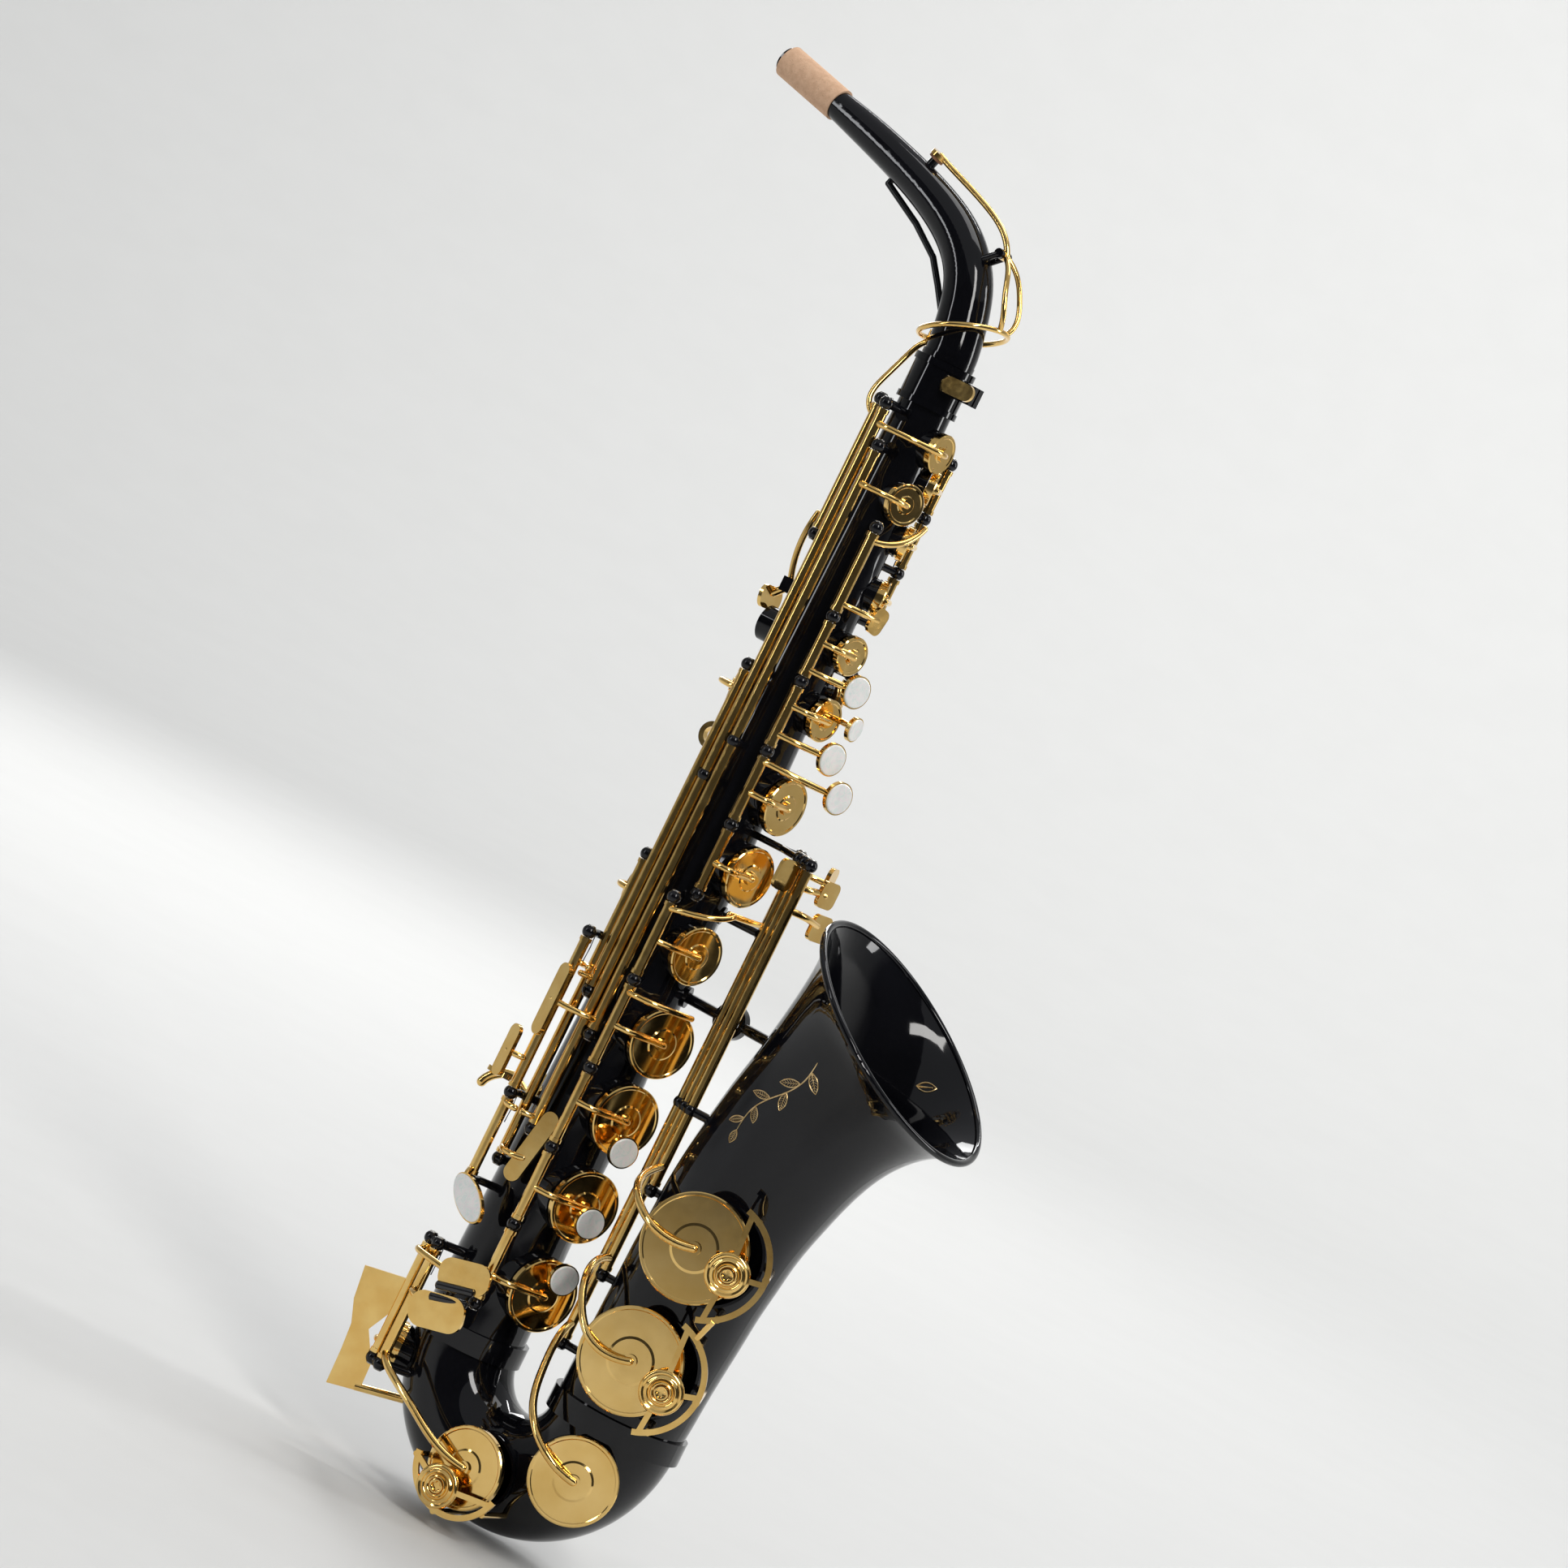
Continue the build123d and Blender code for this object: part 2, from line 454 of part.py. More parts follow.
# high F sharp: long key and its lever
make_key("high_f_sharp_key", [[hp("high_f_sharp_key", 489), (6, -28.5, 489), (18.5, -21, 489), (24, -10, 489),
                               tuple(cup_top(RIMS["high_f_sharp_key"], 1.0))],
                              [hp("high_f_sharp_key", 134), (-7, -30, 134), (-10.0, -32.2, 134)]], bar=1.5)
pf = Plane(origin=V(-9.5, -41.0, 88.5), x_dir=V(0.86, 0.0, -0.5), z_dir=V(-0.25, -0.96, 0.0))
pf = Plane(origin=V(-9.5, -41.0, 88.5), x_dir=V(0.829, -0.216, -0.515), z_dir=V(-0.252, -0.968, 0.0))
def oval(a, b, h, z=0.0):
    return pf * (Pos(0, 0, z) * extrude(Ellipse(a, b), h))
hold = oval(13.8, 7.2, 2.0); recs = oval(13.1, 6.5, 3.0, 0.8)
pearl = oval(13.1, 6.5, 1.9, 0.8)
try:
    pearl = pearl.fillet(0.7, [pearl.edges().sort_by(lambda e: e.center().Y)[0]])
except Exception:
    pass
NODES["high_f_sharp_pearl"] = pearl
make_key("high_f_sharp_lever", [[hp("high_f_sharp_lever", 99.5), (-19.5, -36, 97), (-15.5, -39.6, 92.5), (-10, -40.6, 89)],
                                [hp("high_f_sharp_lever", 134), (-17.5, -33.0, 134), (-13.6, -33.6, 134)]],
         extra=[hold], cuts=[recs], cup=False, bar=1.6)
# side C: key and lever
make_key("side_c_key", [[hp("side_c_key", 352), (-17.0, -24.5, 352), (-22.5, -19.5, 352), tuple(cup_top(RIMS["side_c_key"], 1.0))],
                        [hp("side_c_key", 203), (-12.5, -28, 203), (-15.0, -31, 203)]], bar=1.5)
st_c = plate((-29.5, -35.5, 156), (-0.45, -0.9, 0), (0, 0, 1), 26, 8.0, 2.0)
make_key("side_c_lever", [[hp("side_c_lever", 156), (-23.5, -34, 156), (-27, -35.5, 156), (-29.3, -35.3, 156)],
                          [hp("side_c_lever", 206.6), (-19, -27.2, 206.6), (-13.5, -29.8, 206.6)]], extra=[st_c], cup=False, bar=1.5)
# side B flat with its long spatula
st_b = plate((1.6, -30.6, 122), (0.1, -1, 0), (0.2, 0.02, 1), 38, 8.6, 1.8)
make_key("side_bb_key", [[hp("side_bb_key", 247), (-22, -20.5, 247), (-26.5, -13.5, 247), tuple(cup_top(RIMS["side_bb_key"], 1.0))],
                         [hp("side_bb_key", 114.5), (-13, -28.5, 114.5), (-6, -32, 114.5), (0.4, -31.0, 115.5)]],
         extra=[st_b], bar=1.5)
# low E flat and low C with their facing touches
t_eb = plate((9.0, -47.0, 57.0), (0.2, -1, 0), (1, 0.2, 0.25), 25, 15.0, 2.0, 6)
t_c = plate((6.5, -46.5, 37.0), (0.2, -1, 0), (1, 0.2, 0.25), 28, 17.0, 2.0, 7)
make_key("low_eb_key", [[hp("low_eb_key", 8), (-28.5, -27.5, 8), (-31.5, -21.5, 8), tuple(cup_top(RIMS["low_eb_key"], 1.0))],
                        [hp("low_eb_key", 56), (-24.0, -38.5, 56), (-14, -44.5, 56), (-2, -47.2, 55.6)]], extra=[t_eb], bar=1.6)
ct = RIMS["low_c_key"]
make_key("low_c_key", [(1.9, [hp("low_c_key", 6), (-6, -42.5, 2), (16, -45.5, -6), (36, -44.0, -15), tuple(cup_top(ct, 1.2))]),
                       [hp("low_c_key", 38), (-14.5, -41.0, 38), (-7, -45, 38), (-1, -46.6, 38)]], extra=[t_c], bar=1.6)
# palm keys
def palm(key, zt, phi_t, rt, l):
    cpt = RIMS[key]
    z0 = cpt[0][2]
    tc = pol(rt, phi_t, zt)
    tp = plate(tuple(tc), tuple(pol(1, phi_t, 0)), (0, 0, 1), l, 10, 2.2, 4.5)
    m = pol(31.0, 84, (z0 + zt) / 2)
    make_key(key, [stack_arm(key), [hp(key, z0), tuple(m), tuple(tc)]], extra=[tp], bar=1.6)
palm("palm_d_key", 411, 112, 34, 22)
palm("palm_eb_key", 441, 108, 33, 20)
palm("palm_f_key", 470, 106, 31.5, 20)
# bell keys
def big_arm(key, za, pts):
    R = RIMS[key]
    return (1.9, [hp(key, za)] + pts + [tuple(cup_top(R, 2.0, -R[3] * 0.75)), tuple(cup_top(R, 1.2))])
def pinky(c, l, w):
    return plate(c, (1, 0.05, 0), (0, 0, 1), l, w, 2.0, 3.5)
make_key("low_bb_key", [big_arm("low_bb_key", 141, [(60.0, -23, 138), (70, -40, 132)]),
                        [hp("low_bb_key", 272), (59.5, -3, 272), (59.0, 7, 271), (57.5, 14, 270)]],
         extra=[pinky((57.5, 16.5, 269), 13, 15)], bar=1.7)
make_key("low_b_key", [big_arm("low_b_key", 92, [(55.0, -21, 90), (67, -38, 80)]),
                       [hp("low_b_key", 283.5), (54.5, -0.5, 283.5), (55.0, 8, 284), (55.5, 13, 284)]],
         extra=[pinky((55.5, 15.0, 284.5), 13, 14)], bar=1.7)
Rc = RIMS["low_c_sharp_key"]
make_key("low_c_sharp_key", [(1.9, [hp("low_c_sharp_key", 57), (48.5, -13, 51), (55, -26, 36), (70, -43, 18), (84, -46.5, 8),
                                    tuple(cup_top(Rc, 1.2))]),
                             [hp("low_c_sharp_key", 288), (46.5, -9, 288), (49, -14.5, 288)]],
         extra=[plate((50, -16.5, 286), (1, -0.3, 0), (0, 0, 1), 15, 11, 2.0, 3.5)], bar=1.7)
# ---------------------------------------------------------------- octave mechanism
TL_Z, TL_X = 404.0, -22.5    # thumb lever pivot, axis along Y
base = Pos(-18.5, 0, TL_Z) * Box(10, 9, 7)
base = base.cut(BODY_OUT)
base = base.cut(Pos(TL_X, 0, TL_Z) * Box(9, 5.2, 9)).cut(cyl((TL_X, -6, TL_Z), (TL_X, 6, TL_Z), 1.0))
saddle = Pos(-20.5, 0, TL_Z) * Box(9, 10, 7)
saddle = saddle.cut(Pos(-23.5, 0, TL_Z) * Box(8, 5.2, 9), BODY_OUT, cyl((TL_X, -6, TL_Z), (TL_X, 6, TL_Z), 1.0))
pin = cyl((TL_X, -5, TL_Z), (TL_X, 5, TL_Z), 1.0)
NODES["thumb_rest"] = Part() + (Pos(-20.0, 0, 384) * Rot(0, -90, 0) * Cylinder(8.5, 11)).cut(BODY_OUT).solids()[0]
NODES["octave_saddle"] = Compound(children=[Part() + max(saddle.solids(), key=lambda s: s.volume), pin.solids()[0]])
tl = fuse([cyl((TL_X, -2.4, TL_Z), (TL_X, 2.4, TL_Z), 2.6),
           plate((-29.5, 0, 395), (1, 0, 0.12), (0, 1, 0), 20, 11, 1.8, 5),
           cyl((TL_X, 0, TL_Z), (-29.3, 0, 397.5), 2.0),
           ] + curve([(TL_X, 0, TL_Z), (-25.5, -1.5, 415), (-25.5, -4.0, 428), (-23.6, -4.8, 440)], 1.5))
NODES["thumb_octave_key"] = tl.cut(cyl((TL_X, -6, TL_Z), (TL_X, 6, TL_Z), 1.05))
oc = [hp("octave_rod", 440)]
ocup = pol(rb(470) + 3.0 + GAP, -150, 470)
on = pol(1, -150, 0)
ocp = cyl(tuple(ocup), tuple(ocup + on * 2.4), 3.2)
make_key("octave_rod", [[hp("octave_rod", 440), (-19.0, -8.0, 440), (-20.3, -4.8, 440)],
                        [hp("octave_rod", 491.5), (-23.0, -10.2, 498.5), (-22.0, -6.0, 512), (-19.5, -1.5, 524), (-17.2, 0, 530.0), (-14.5, 0, 532.8)],
                        ], extra=[cyl((-14.5, 0, 532.3), (-14.5, 0, 539), 1.0)], cup=False, bar=1.4)

# ---------------------------------------------------------------- neck
NECK = [(0, 527.6, 12.4), (-0.6, 538, 12.3), (-2.8, 549, 12.1), (-8.8, 566, 11.6), (-21.5, 581, 10.9),
        (-41, 592.5, 10.0), (-66, 602, 9.0), (-100, 612.0, 7.8), (-126, 618.8, 7.0), (-148.5, 624.6, 6.4)]
def neck_dir(i):
    a = NECK[max(i - 1, 0)]; b = NECK[min(i + 1, len(NECK) - 1)]
    if i == 0:
        return (0, 0, 1)
    v = V(b[0] - a[0], 0, b[1] - a[1]).normalized()
    return (v.X, 0, v.Z)
NOUT = loft_rings([((x, 0, z), neck_dir(i), r) for i, (x, z, r) in enumerate(NECK)])
NIN = loft_rings([((x, 0, z), neck_dir(i), r - 0.9) for i, (x, z, r) in enumerate(NECK)])
tipd = V(*neck_dir(len(NECK) - 1)); tip = V(NECK[-1][0], 0, NECK[-1][1])
PAD_P = V(-57.0, 0, 608.0)
# outward direction at the neck pip
ni = min(range(len(NECK)), key=lambda i: abs(NECK[i][0] + 57))
nd = (V(-66, 0, 602) - V(-41, 0, 592.5)).normalized()
npn = V(-nd.Z, 0, nd.X); npn = npn if npn.Z > 0 else npn * -1
pc_ = V(-57, 0, 598.7)
pip = cyl(tuple(pc_), tuple(pc_ + npn * 12.6), 2.3)
tenon = zc(0, 0, 508.5, 527.6, 11.6)
neck = NOUT.fuse(tenon, zc(0, 0, 527.9, 530.5, 12.9), pip)
# brace plate under the neck
def neck_under(i, d):
    x, z, r = NECK[i]; v = V(*neck_dir(i)); u = V(v.Z, 0, -v.X); u = u if u.Z < 0 or u.X < 0 else u * -1
    if u.Z > 0: u = u * -1
    return V(x, 0, z) + u * (r + d)
brace_pts = [neck_under(6, -1.5), neck_under(6, 2.0), neck_under(5, 3.8), neck_under(4, 4.2), neck_under(3, 3.8), neck_under(2, -1.5)]
bp_path = Spline(*brace_pts[1:5])
bb_ = []
for a, b2 in zip(brace_pts, brace_pts[1:]):
    bb_ += [cyl(tuple(a), tuple(b2), 1.6)]
for p_ in brace_pts[1:-1]:
    bb_.append(ball(tuple(p_), 1.601))
neck = neck.fuse(*bb_)
neck = neck.cut(NIN, zc(0, 0, 500, 527.7, 10.7), cyl(tuple(pc_), tuple(pc_ + npn * 15), 0.9))
# hinge saddle for the octave key
SAD = V(1.5, 0, 583.5)
sad = fuse([cyl((SAD.X, -5.0, SAD.Z), (SAD.X, 5.0, SAD.Z), 2.3), cyl((SAD.X, -4.0, SAD.Z), (-10, -4.0, 574), 1.6),
            cyl((SAD.X, 4.0, SAD.Z), (-10, 4.0, 574), 1.6)])
sad = sad.cut(NOUT, Pos(SAD.X, 0, SAD.Z) * Box(7, 5.6, 7))
sad = sad.cut(cyl((SAD.X, -7, SAD.Z), (SAD.X, 7, SAD.Z), 1.0))
sadp = [s for s in sad.solids() if s.volume > 5]
NODES["neck_saddle"] = Compound(children=sadp + [cyl((SAD.X, -5.5, SAD.Z), (SAD.X, 5.5, SAD.Z), 1.0).solids()[0]])
NODES["neck_tube"] = Part() + max(neck.solids(), key=lambda s: s.volume)
c0 = tip - tipd * (CORK_L + 2.0)
cork = cyl(tuple(c0), tuple(tip - tipd * 2.0), CORK_R).cut(NOUT)
NODES["neck_cork"] = Part() + max(cork.solids(), key=lambda s: s.volume)
# octave key: pad arm, loops and ring
ring = Pos(1.0, 0, 543) * Rot(0, -24, 0) * Torus(20.5, 1.3)
padc = pc_ + npn * (12.6 + GAP)
octk = [cyl((SAD.X, -2.5, SAD.Z), (SAD.X, 2.5, SAD.Z), 2.4), ring]
def neck_over(i, d):
    x, z, r = NECK[i]; v = V(*neck_dir(i)); u = V(v.Z, 0, -v.X)
    if u.Z < 0: u = u * -1
    return V(x, 0, z) + u * (r + d)
octk += curve([tuple(padc + npn * 3.0), tuple(neck_over(5, 6.0)), (-17, 0, 600.5), (-3, 0, 592.5), (SAD.X + 2.0, 0, SAD.Z + 0.5)], 1.5)
for sy in (-1, 1):
    octk += curve([(SAD.X + 1.5, sy * 0.6, SAD.Z), (9.5, sy * 4.5, 578.5), (15.5, sy * 8.0, 568), (19.6, sy * 7.0, 557), (19.2, sy * 3.5, 551.2)], 1.3)
octk.append(cyl(tuple(padc + npn * 1.4), tuple(padc + npn * 3.6), 4.2))
octk = fuse(octk).cut(cyl((SAD.X, -6, SAD.Z), (SAD.X, 6, SAD.Z), 1.05))
NODES["neck_octave_key"] = Part() + max(octk.solids(), key=lambda s: s.volume)
NODES["neck_octave_pad"] = cyl(tuple(padc), tuple(padc + npn * 1.4), 3.8)

# ---------------------------------------------------------------- hooks, rests, guards
sr = fuse([Pos(RING[0], 0, RING[2]) * Rot(90, 0, 0) * Cylinder(6.6, 4.0), Pos(-20, 0, RING[2]) * Box(9, 4.0, 9)])
sr = sr.cut(BODY_OUT, Pos(RING[0], 0, RING[2]) * Rot(90, 0, 0) * Cylinder(RING_BORE, 20))
sr = sr.fuse((Pos(-16.9, 0, RING[2]) * Box(7, 10, 24)).cut(BODY_OUT, Pos(RING[0], 0, RING[2]) * Rot(90, 0, 0) * Cylinder(RING_BORE, 20)))
NODES["strap_ring"] = Part() + max(sr.solids(), key=lambda s: s.volume)
th = fuse([(Pos(-22.0, 0, 139) * Box(7, 13, 24)).cut(BODY_OUT)] +
          curve([(-24, 0, 139), (-32, 0, 138.5), (-40, -1, 142), (-47, -3.0, 139.5), (-51.5, -5, 133)], 2.3) )
hook_plate = plate((-43.0, -2.0, 140.5), (0, 0.1, 1), (1, -0.25, 0), 18, 14, 2.4, 5)
NODES["thumb_hook"] = Part() + max(th.fuse(hook_plate).cut(BODY_OUT).solids(), key=lambda s: s.volume)

# clothes guard plate, bow-tie outline, facing the camera side
gp = Plane(origin=V(-34.0, -27.2, 6.0), x_dir=V(0.883, 0.469, 0), z_dir=V(0.469, -0.883, 0))
outl = Polyline((-15.5, 30), (4.5, 33), (4.0, 14), (-1.0, 4), (7.0, -10), (7.5, -24), (-8.0, -27), (-8.5, -10), (-9.5, 3), (-13.5, 14), (-15.5, 30))
cg = gp * extrude(make_face(outl), amount=0.9, both=True)
cgl = [cg, cyl((-36, -26.0, 33.0), (0, 0, 33.0), 1.7), cyl((-30, -24.5, -17), (20, 0, -6), 1.9)]
cg = fuse(cgl).cut(*ALL_OUT).cut(NODES["body_bow_ring"], *bow_adds)
NODES["clothes_guard"] = Part() + max(cg.solids(), key=lambda s: s.volume)

bumpers = []
def guard(key, s_b, z_b, a0, a1, legs, hb=10.2, leg_r=1.7, leg_off=2.6):
    """Openwork guard over a cup: an arc band, spokes and a bumper ring."""
    origin, phi, rim, rc = RIMS[key]
    pl = frame_at(origin, phi)
    h = rim + GAP + CUP_T + hb
    parts = []
    n = 9
    pts = [((rc + 2.6) * math.cos((a0 + (a1 - a0) * i / n) * DEG), (rc + 2.6) * math.sin((a0 + (a1 - a0) * i / n) * DEG)) for i in range(n + 1)]
    ring_ = Cylinder(rc + 4.0, 1.6) - Cylinder(rc + 1.2, 3)
    sec = make_face(Polyline((0, 0), *[(3 * x, 3 * y) for x, y in pts], (0, 0)))
    ring_ = ring_ & extrude(sec, amount=5, both=True)
    parts.append(ring_)
    parts.append(Pos(s_b, z_b, 0) * (Cylinder(8.0, 1.6)))
    for a in (a0 + 6, (a0 + a1) / 2, a1 - 6):
        q = V((rc + 2.6) * math.cos(a * DEG), (rc + 2.6) * math.sin(a * DEG), 0)
        p = V(s_b, z_b, 0); d = q - p
        parts.append(Pos(*(p + d * 0.5)) * Rot(0, 0, math.atan2(d.Y, d.X) / DEG) * Box(d.length, 2.6, 1.6))
    g = fuse(parts)
    g = g.cut(Pos(s_b, z_b, 0) * Cylinder(3.0, 8))
    g = (pl * Pos(0, 0, h)) * g
    lg = []
    for a in legs:
        q = pl.from_local_coords(V((rc + leg_off) * math.cos(a * DEG), (rc + leg_off) * math.sin(a * DEG), h))
        f = pl.from_local_coords(V((rc + leg_off) * math.cos(a * DEG), (rc + leg_off) * math.sin(a * DEG), 2.0))
        lg.append(cyl(tuple(q), tuple(f), leg_r))
    g = fuse([g] + lg).cut(*ALL_OUT)
    b = Pos(s_b, z_b, 0) * Cylinder(2.95, 2.6)
    b = b.fuse(Pos(s_b, z_b, -1.8) * Cylinder(6.4, 2.0), Pos(s_b, z_b, 1.6) * Cylinder(4.6, 1.6))
    b = b.cut(Pos(s_b, z_b, 2.4) * Box(6, 0.8, 1.2))
    bumpers.append((pl * Pos(0, 0, h)) * b)
    return Part() + max(g.solids(), key=lambda q: q.volume)

g1 = guard("low_bb_key", 11.5, -3.0, -75, 75, (-55, 5, 60), hb=13.2)
g2 = guard("low_b_key", 11.5, -5.0, -75, 75, (-60, -5, 50), hb=13.2)
link = [cyl(tuple(frame_at(RIMS["low_bb_key"][0], -65).from_local_coords(V(15, -24.3, 38.2 + GAP + CUP_T + 13.2))),
            tuple(frame_at(RIMS["low_b_key"][0], -65).from_local_coords(V(15, 23.8, 35.7 + GAP + CUP_T + 13.2))), 1.4)]
gg = g1.fuse(g2, *link)
NODES["bell_key_guard"] = Part() + max(gg.solids(), key=lambda s: s.volume)
g3 = guard("low_c_key", -6.5, -12.0, 184, 345, (190, 262, 325), hb=13.4, leg_r=1.4, leg_off=3.8)
NODES["low_c_guard"] = g3
NODES["guard_bumpers"] = Compound(children=[max(b.solids(), key=lambda s: s.volume) for b in bumpers])

# ---------------------------------------------------------------- export
SHIFT = Location((-RING[0], -RING[1], -RING[2]))
if __name__ == "__main__":
    for name, s in NODES.items():
        sol = list(s.solids())
        s2 = (Part() + sol) if len(sol) == 1 else Compound(children=sol)
        s2 = s2.moved(SHIFT)
        s2.label = name
        export_step(s2, f"parts/{name}.step")
        bb = s2.bounding_box()
        print(f"{name:22s} n={len(sol):3d} vol={sum(q.volume for q in sol):9.1f} valid={all(q.is_valid for q in sol)}"
              f" z {bb.min.Z:7.1f} {bb.max.Z:7.1f}")
    print(len(NODES), "nodes")
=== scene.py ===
import bpy, bmesh, math, random
from mathutils import Vector, Matrix
from mathutils.bvhtree import BVHTree


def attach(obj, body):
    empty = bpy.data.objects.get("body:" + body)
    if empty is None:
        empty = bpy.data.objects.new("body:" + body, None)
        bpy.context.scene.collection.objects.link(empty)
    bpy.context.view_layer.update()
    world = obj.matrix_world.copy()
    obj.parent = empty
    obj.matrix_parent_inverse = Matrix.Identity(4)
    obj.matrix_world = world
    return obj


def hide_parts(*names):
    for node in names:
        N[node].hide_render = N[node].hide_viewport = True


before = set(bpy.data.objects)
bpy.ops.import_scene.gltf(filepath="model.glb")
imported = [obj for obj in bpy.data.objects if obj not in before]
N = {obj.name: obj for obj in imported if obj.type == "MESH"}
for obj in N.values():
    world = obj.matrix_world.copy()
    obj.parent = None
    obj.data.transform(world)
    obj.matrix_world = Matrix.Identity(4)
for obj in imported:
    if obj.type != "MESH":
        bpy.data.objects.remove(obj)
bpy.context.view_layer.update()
RING = Vector((-24.5, 0.0, 326.0))
random.seed(7)

def W(x, y, z):
    """Drawing millimetres to row-frame metres."""
    return (Vector((x, y, z)) - RING) / 1000.0

# ------------------------------------------------------------------ materials
def material(name, base, dark, metallic=0.0, rough=0.3, rvar=0.05, scale=60.0, bump=0.0, bscale=300.0, coat=0.0,
             coat_rough=0.05, spec=0.5, stretch=(1, 1, 1), ior=None, detail=6.0, lo=0.35, hi=0.65, sss=0.0):
    m = bpy.data.materials.new(name)
    m.use_nodes = True
    nt = m.node_tree
    b = nt.nodes["Principled BSDF"]
    tc = nt.nodes.new("ShaderNodeTexCoord")
    mp = nt.nodes.new("ShaderNodeMapping")
    mp.inputs["Scale"].default_value = stretch
    nt.links.new(tc.outputs["Object"], mp.inputs["Vector"])
    n1 = nt.nodes.new("ShaderNodeTexNoise")
    n1.inputs["Scale"].default_value = scale
    n1.inputs["Detail"].default_value = detail
    nt.links.new(mp.outputs["Vector"], n1.inputs["Vector"])
    ramp = nt.nodes.new("ShaderNodeValToRGB")
    ramp.color_ramp.elements[0].position = lo
    ramp.color_ramp.elements[1].position = hi
    ramp.color_ramp.elements[0].color = (*dark, 1)
    ramp.color_ramp.elements[1].color = (*base, 1)
    nt.links.new(n1.outputs["Fac"], ramp.inputs["Fac"])
    nt.links.new(ramp.outputs["Color"], b.inputs["Base Color"])
    n2 = nt.nodes.new("ShaderNodeTexNoise")
    n2.inputs["Scale"].default_value = scale * 3.1
    n2.inputs["Detail"].default_value = 8.0
    nt.links.new(mp.outputs["Vector"], n2.inputs["Vector"])
    mr = nt.nodes.new("ShaderNodeMapRange")
    mr.inputs["From Min"].default_value = 0.3
    mr.inputs["From Max"].default_value = 0.7
    mr.inputs["To Min"].default_value = max(0.02, rough - rvar)
    mr.inputs["To Max"].default_value = rough + rvar
    nt.links.new(n2.outputs["Fac"], mr.inputs["Value"])
    nt.links.new(mr.outputs["Result"], b.inputs["Roughness"])
    b.inputs["Metallic"].default_value = metallic
    b.inputs["Coat Weight"].default_value = coat
    b.inputs["Coat Roughness"].default_value = coat_rough
    b.inputs["Specular IOR Level"].default_value = spec
    if ior:
        b.inputs["IOR"].default_value = ior
    if bump:
        n3 = nt.nodes.new("ShaderNodeTexNoise")
        n3.inputs["Scale"].default_value = bscale
        n3.inputs["Detail"].default_value = 5.0
        nt.links.new(mp.outputs["Vector"], n3.inputs["Vector"])
        bp = nt.nodes.new("ShaderNodeBump")
        bp.inputs["Strength"].default_value = bump
        bp.inputs["Distance"].default_value = 0.0002
        nt.links.new(n3.outputs["Fac"], bp.inputs["Height"])
        nt.links.new(bp.outputs["Normal"], b.inputs["Normal"])
    return m

BLACK = material("black_lacquer", (0.0050, 0.0052, 0.0072), (0.0022, 0.0023, 0.0034), metallic=0.0, rough=0.055, rvar=0.025,
                 scale=22, bump=0.012, bscale=70, coat=0.0, coat_rough=0.02, spec=0.36)
GOLD = material("gold_lacquer", (0.92, 0.63, 0.22), (0.83, 0.52, 0.15), metallic=1.0, rough=0.115, rvar=0.05, scale=70,
                bump=0.03, bscale=420, coat=0.2, coat_rough=0.05)
GOLD2 = material("gold_cups", (0.90, 0.62, 0.23), (0.80, 0.52, 0.16), metallic=1.0, rough=0.10, rvar=0.045, scale=46,
                 bump=0.022, bscale=160, coat=0.2, coat_rough=0.05)
STEEL = material("rod_steel", (0.62, 0.61, 0.58), (0.42, 0.41, 0.39), metallic=1.0, rough=0.25, rvar=0.07, scale=160,
                 bump=0.08, bscale=900, stretch=(1, 1, 0.08))
PEARL = material("mother_of_pearl", (0.97, 0.96, 0.94), (0.84, 0.86, 0.85), metallic=0.0, rough=0.16, rvar=0.05, scale=150,
                 bump=0.03, bscale=380, coat=0.8, coat_rough=0.05, stretch=(1, 1.8, 1), lo=0.3, hi=0.7)
CORK = material("neck_cork", (0.76, 0.50, 0.33), (0.67, 0.42, 0.27), rough=0.86, rvar=0.08, scale=420, bump=0.7, bscale=1500,
                spec=0.2)
LEATHER = material("pad_leather", (0.36, 0.18, 0.09), (0.22, 0.10, 0.05), rough=0.55, rvar=0.1, scale=240, bump=0.35,
                   bscale=1400, spec=0.35)
FELT = material("felt", (0.15, 0.10, 0.08), (0.08, 0.05, 0.04), rough=0.95, rvar=0.04, scale=700, bump=0.8, bscale=2600, spec=0.1)
ROLLER = material("roller_black", (0.012, 0.012, 0.013), (0.006, 0.006, 0.007), rough=0.22, rvar=0.05, scale=200, bump=0.05,
                  bscale=800, coat=0.5)
ENGRAVE = material("engraved_gold", (0.80, 0.60, 0.32), (0.55, 0.38, 0.17), metallic=1.0, rough=0.34, rvar=0.08, scale=500,
                   bump=0.3, bscale=2200)
FLOORM = material("floor_pale", (0.62, 0.62, 0.61), (0.612, 0.612, 0.602), rough=0.74, rvar=0.03, scale=14, bump=0.03, bscale=60, spec=0.3)

# painted shade: the floor is pale round the object and behind it, and falls to a mid grey far out on the near side,
# standing in for the unlit room toward the camera so that the glossy parts reflect dark
nt = FLOORM.node_tree
geo = nt.nodes.new("ShaderNodeNewGeometry")
dot = nt.nodes.new("ShaderNodeVectorMath"); dot.operation = "DOT_PRODUCT"
dot.inputs[1].default_value = (0.469, -0.883, 0.12)
nt.links.new(geo.outputs["Position"], dot.inputs[0])
painted_shade_ramp = nt.nodes.new("ShaderNodeMapRange"); painted_shade_ramp.interpolation_type = "SMOOTHSTEP"
painted_shade_ramp.inputs["From Min"].default_value = 0.4; painted_shade_ramp.inputs["From Max"].default_value = 1.7
nt.links.new(dot.outputs["Value"], painted_shade_ramp.inputs["Value"])
mx = nt.nodes.new("ShaderNodeMix"); mx.data_type = "RGBA"
old = [n for n in nt.nodes if n.type == "VALTORGB"][0]
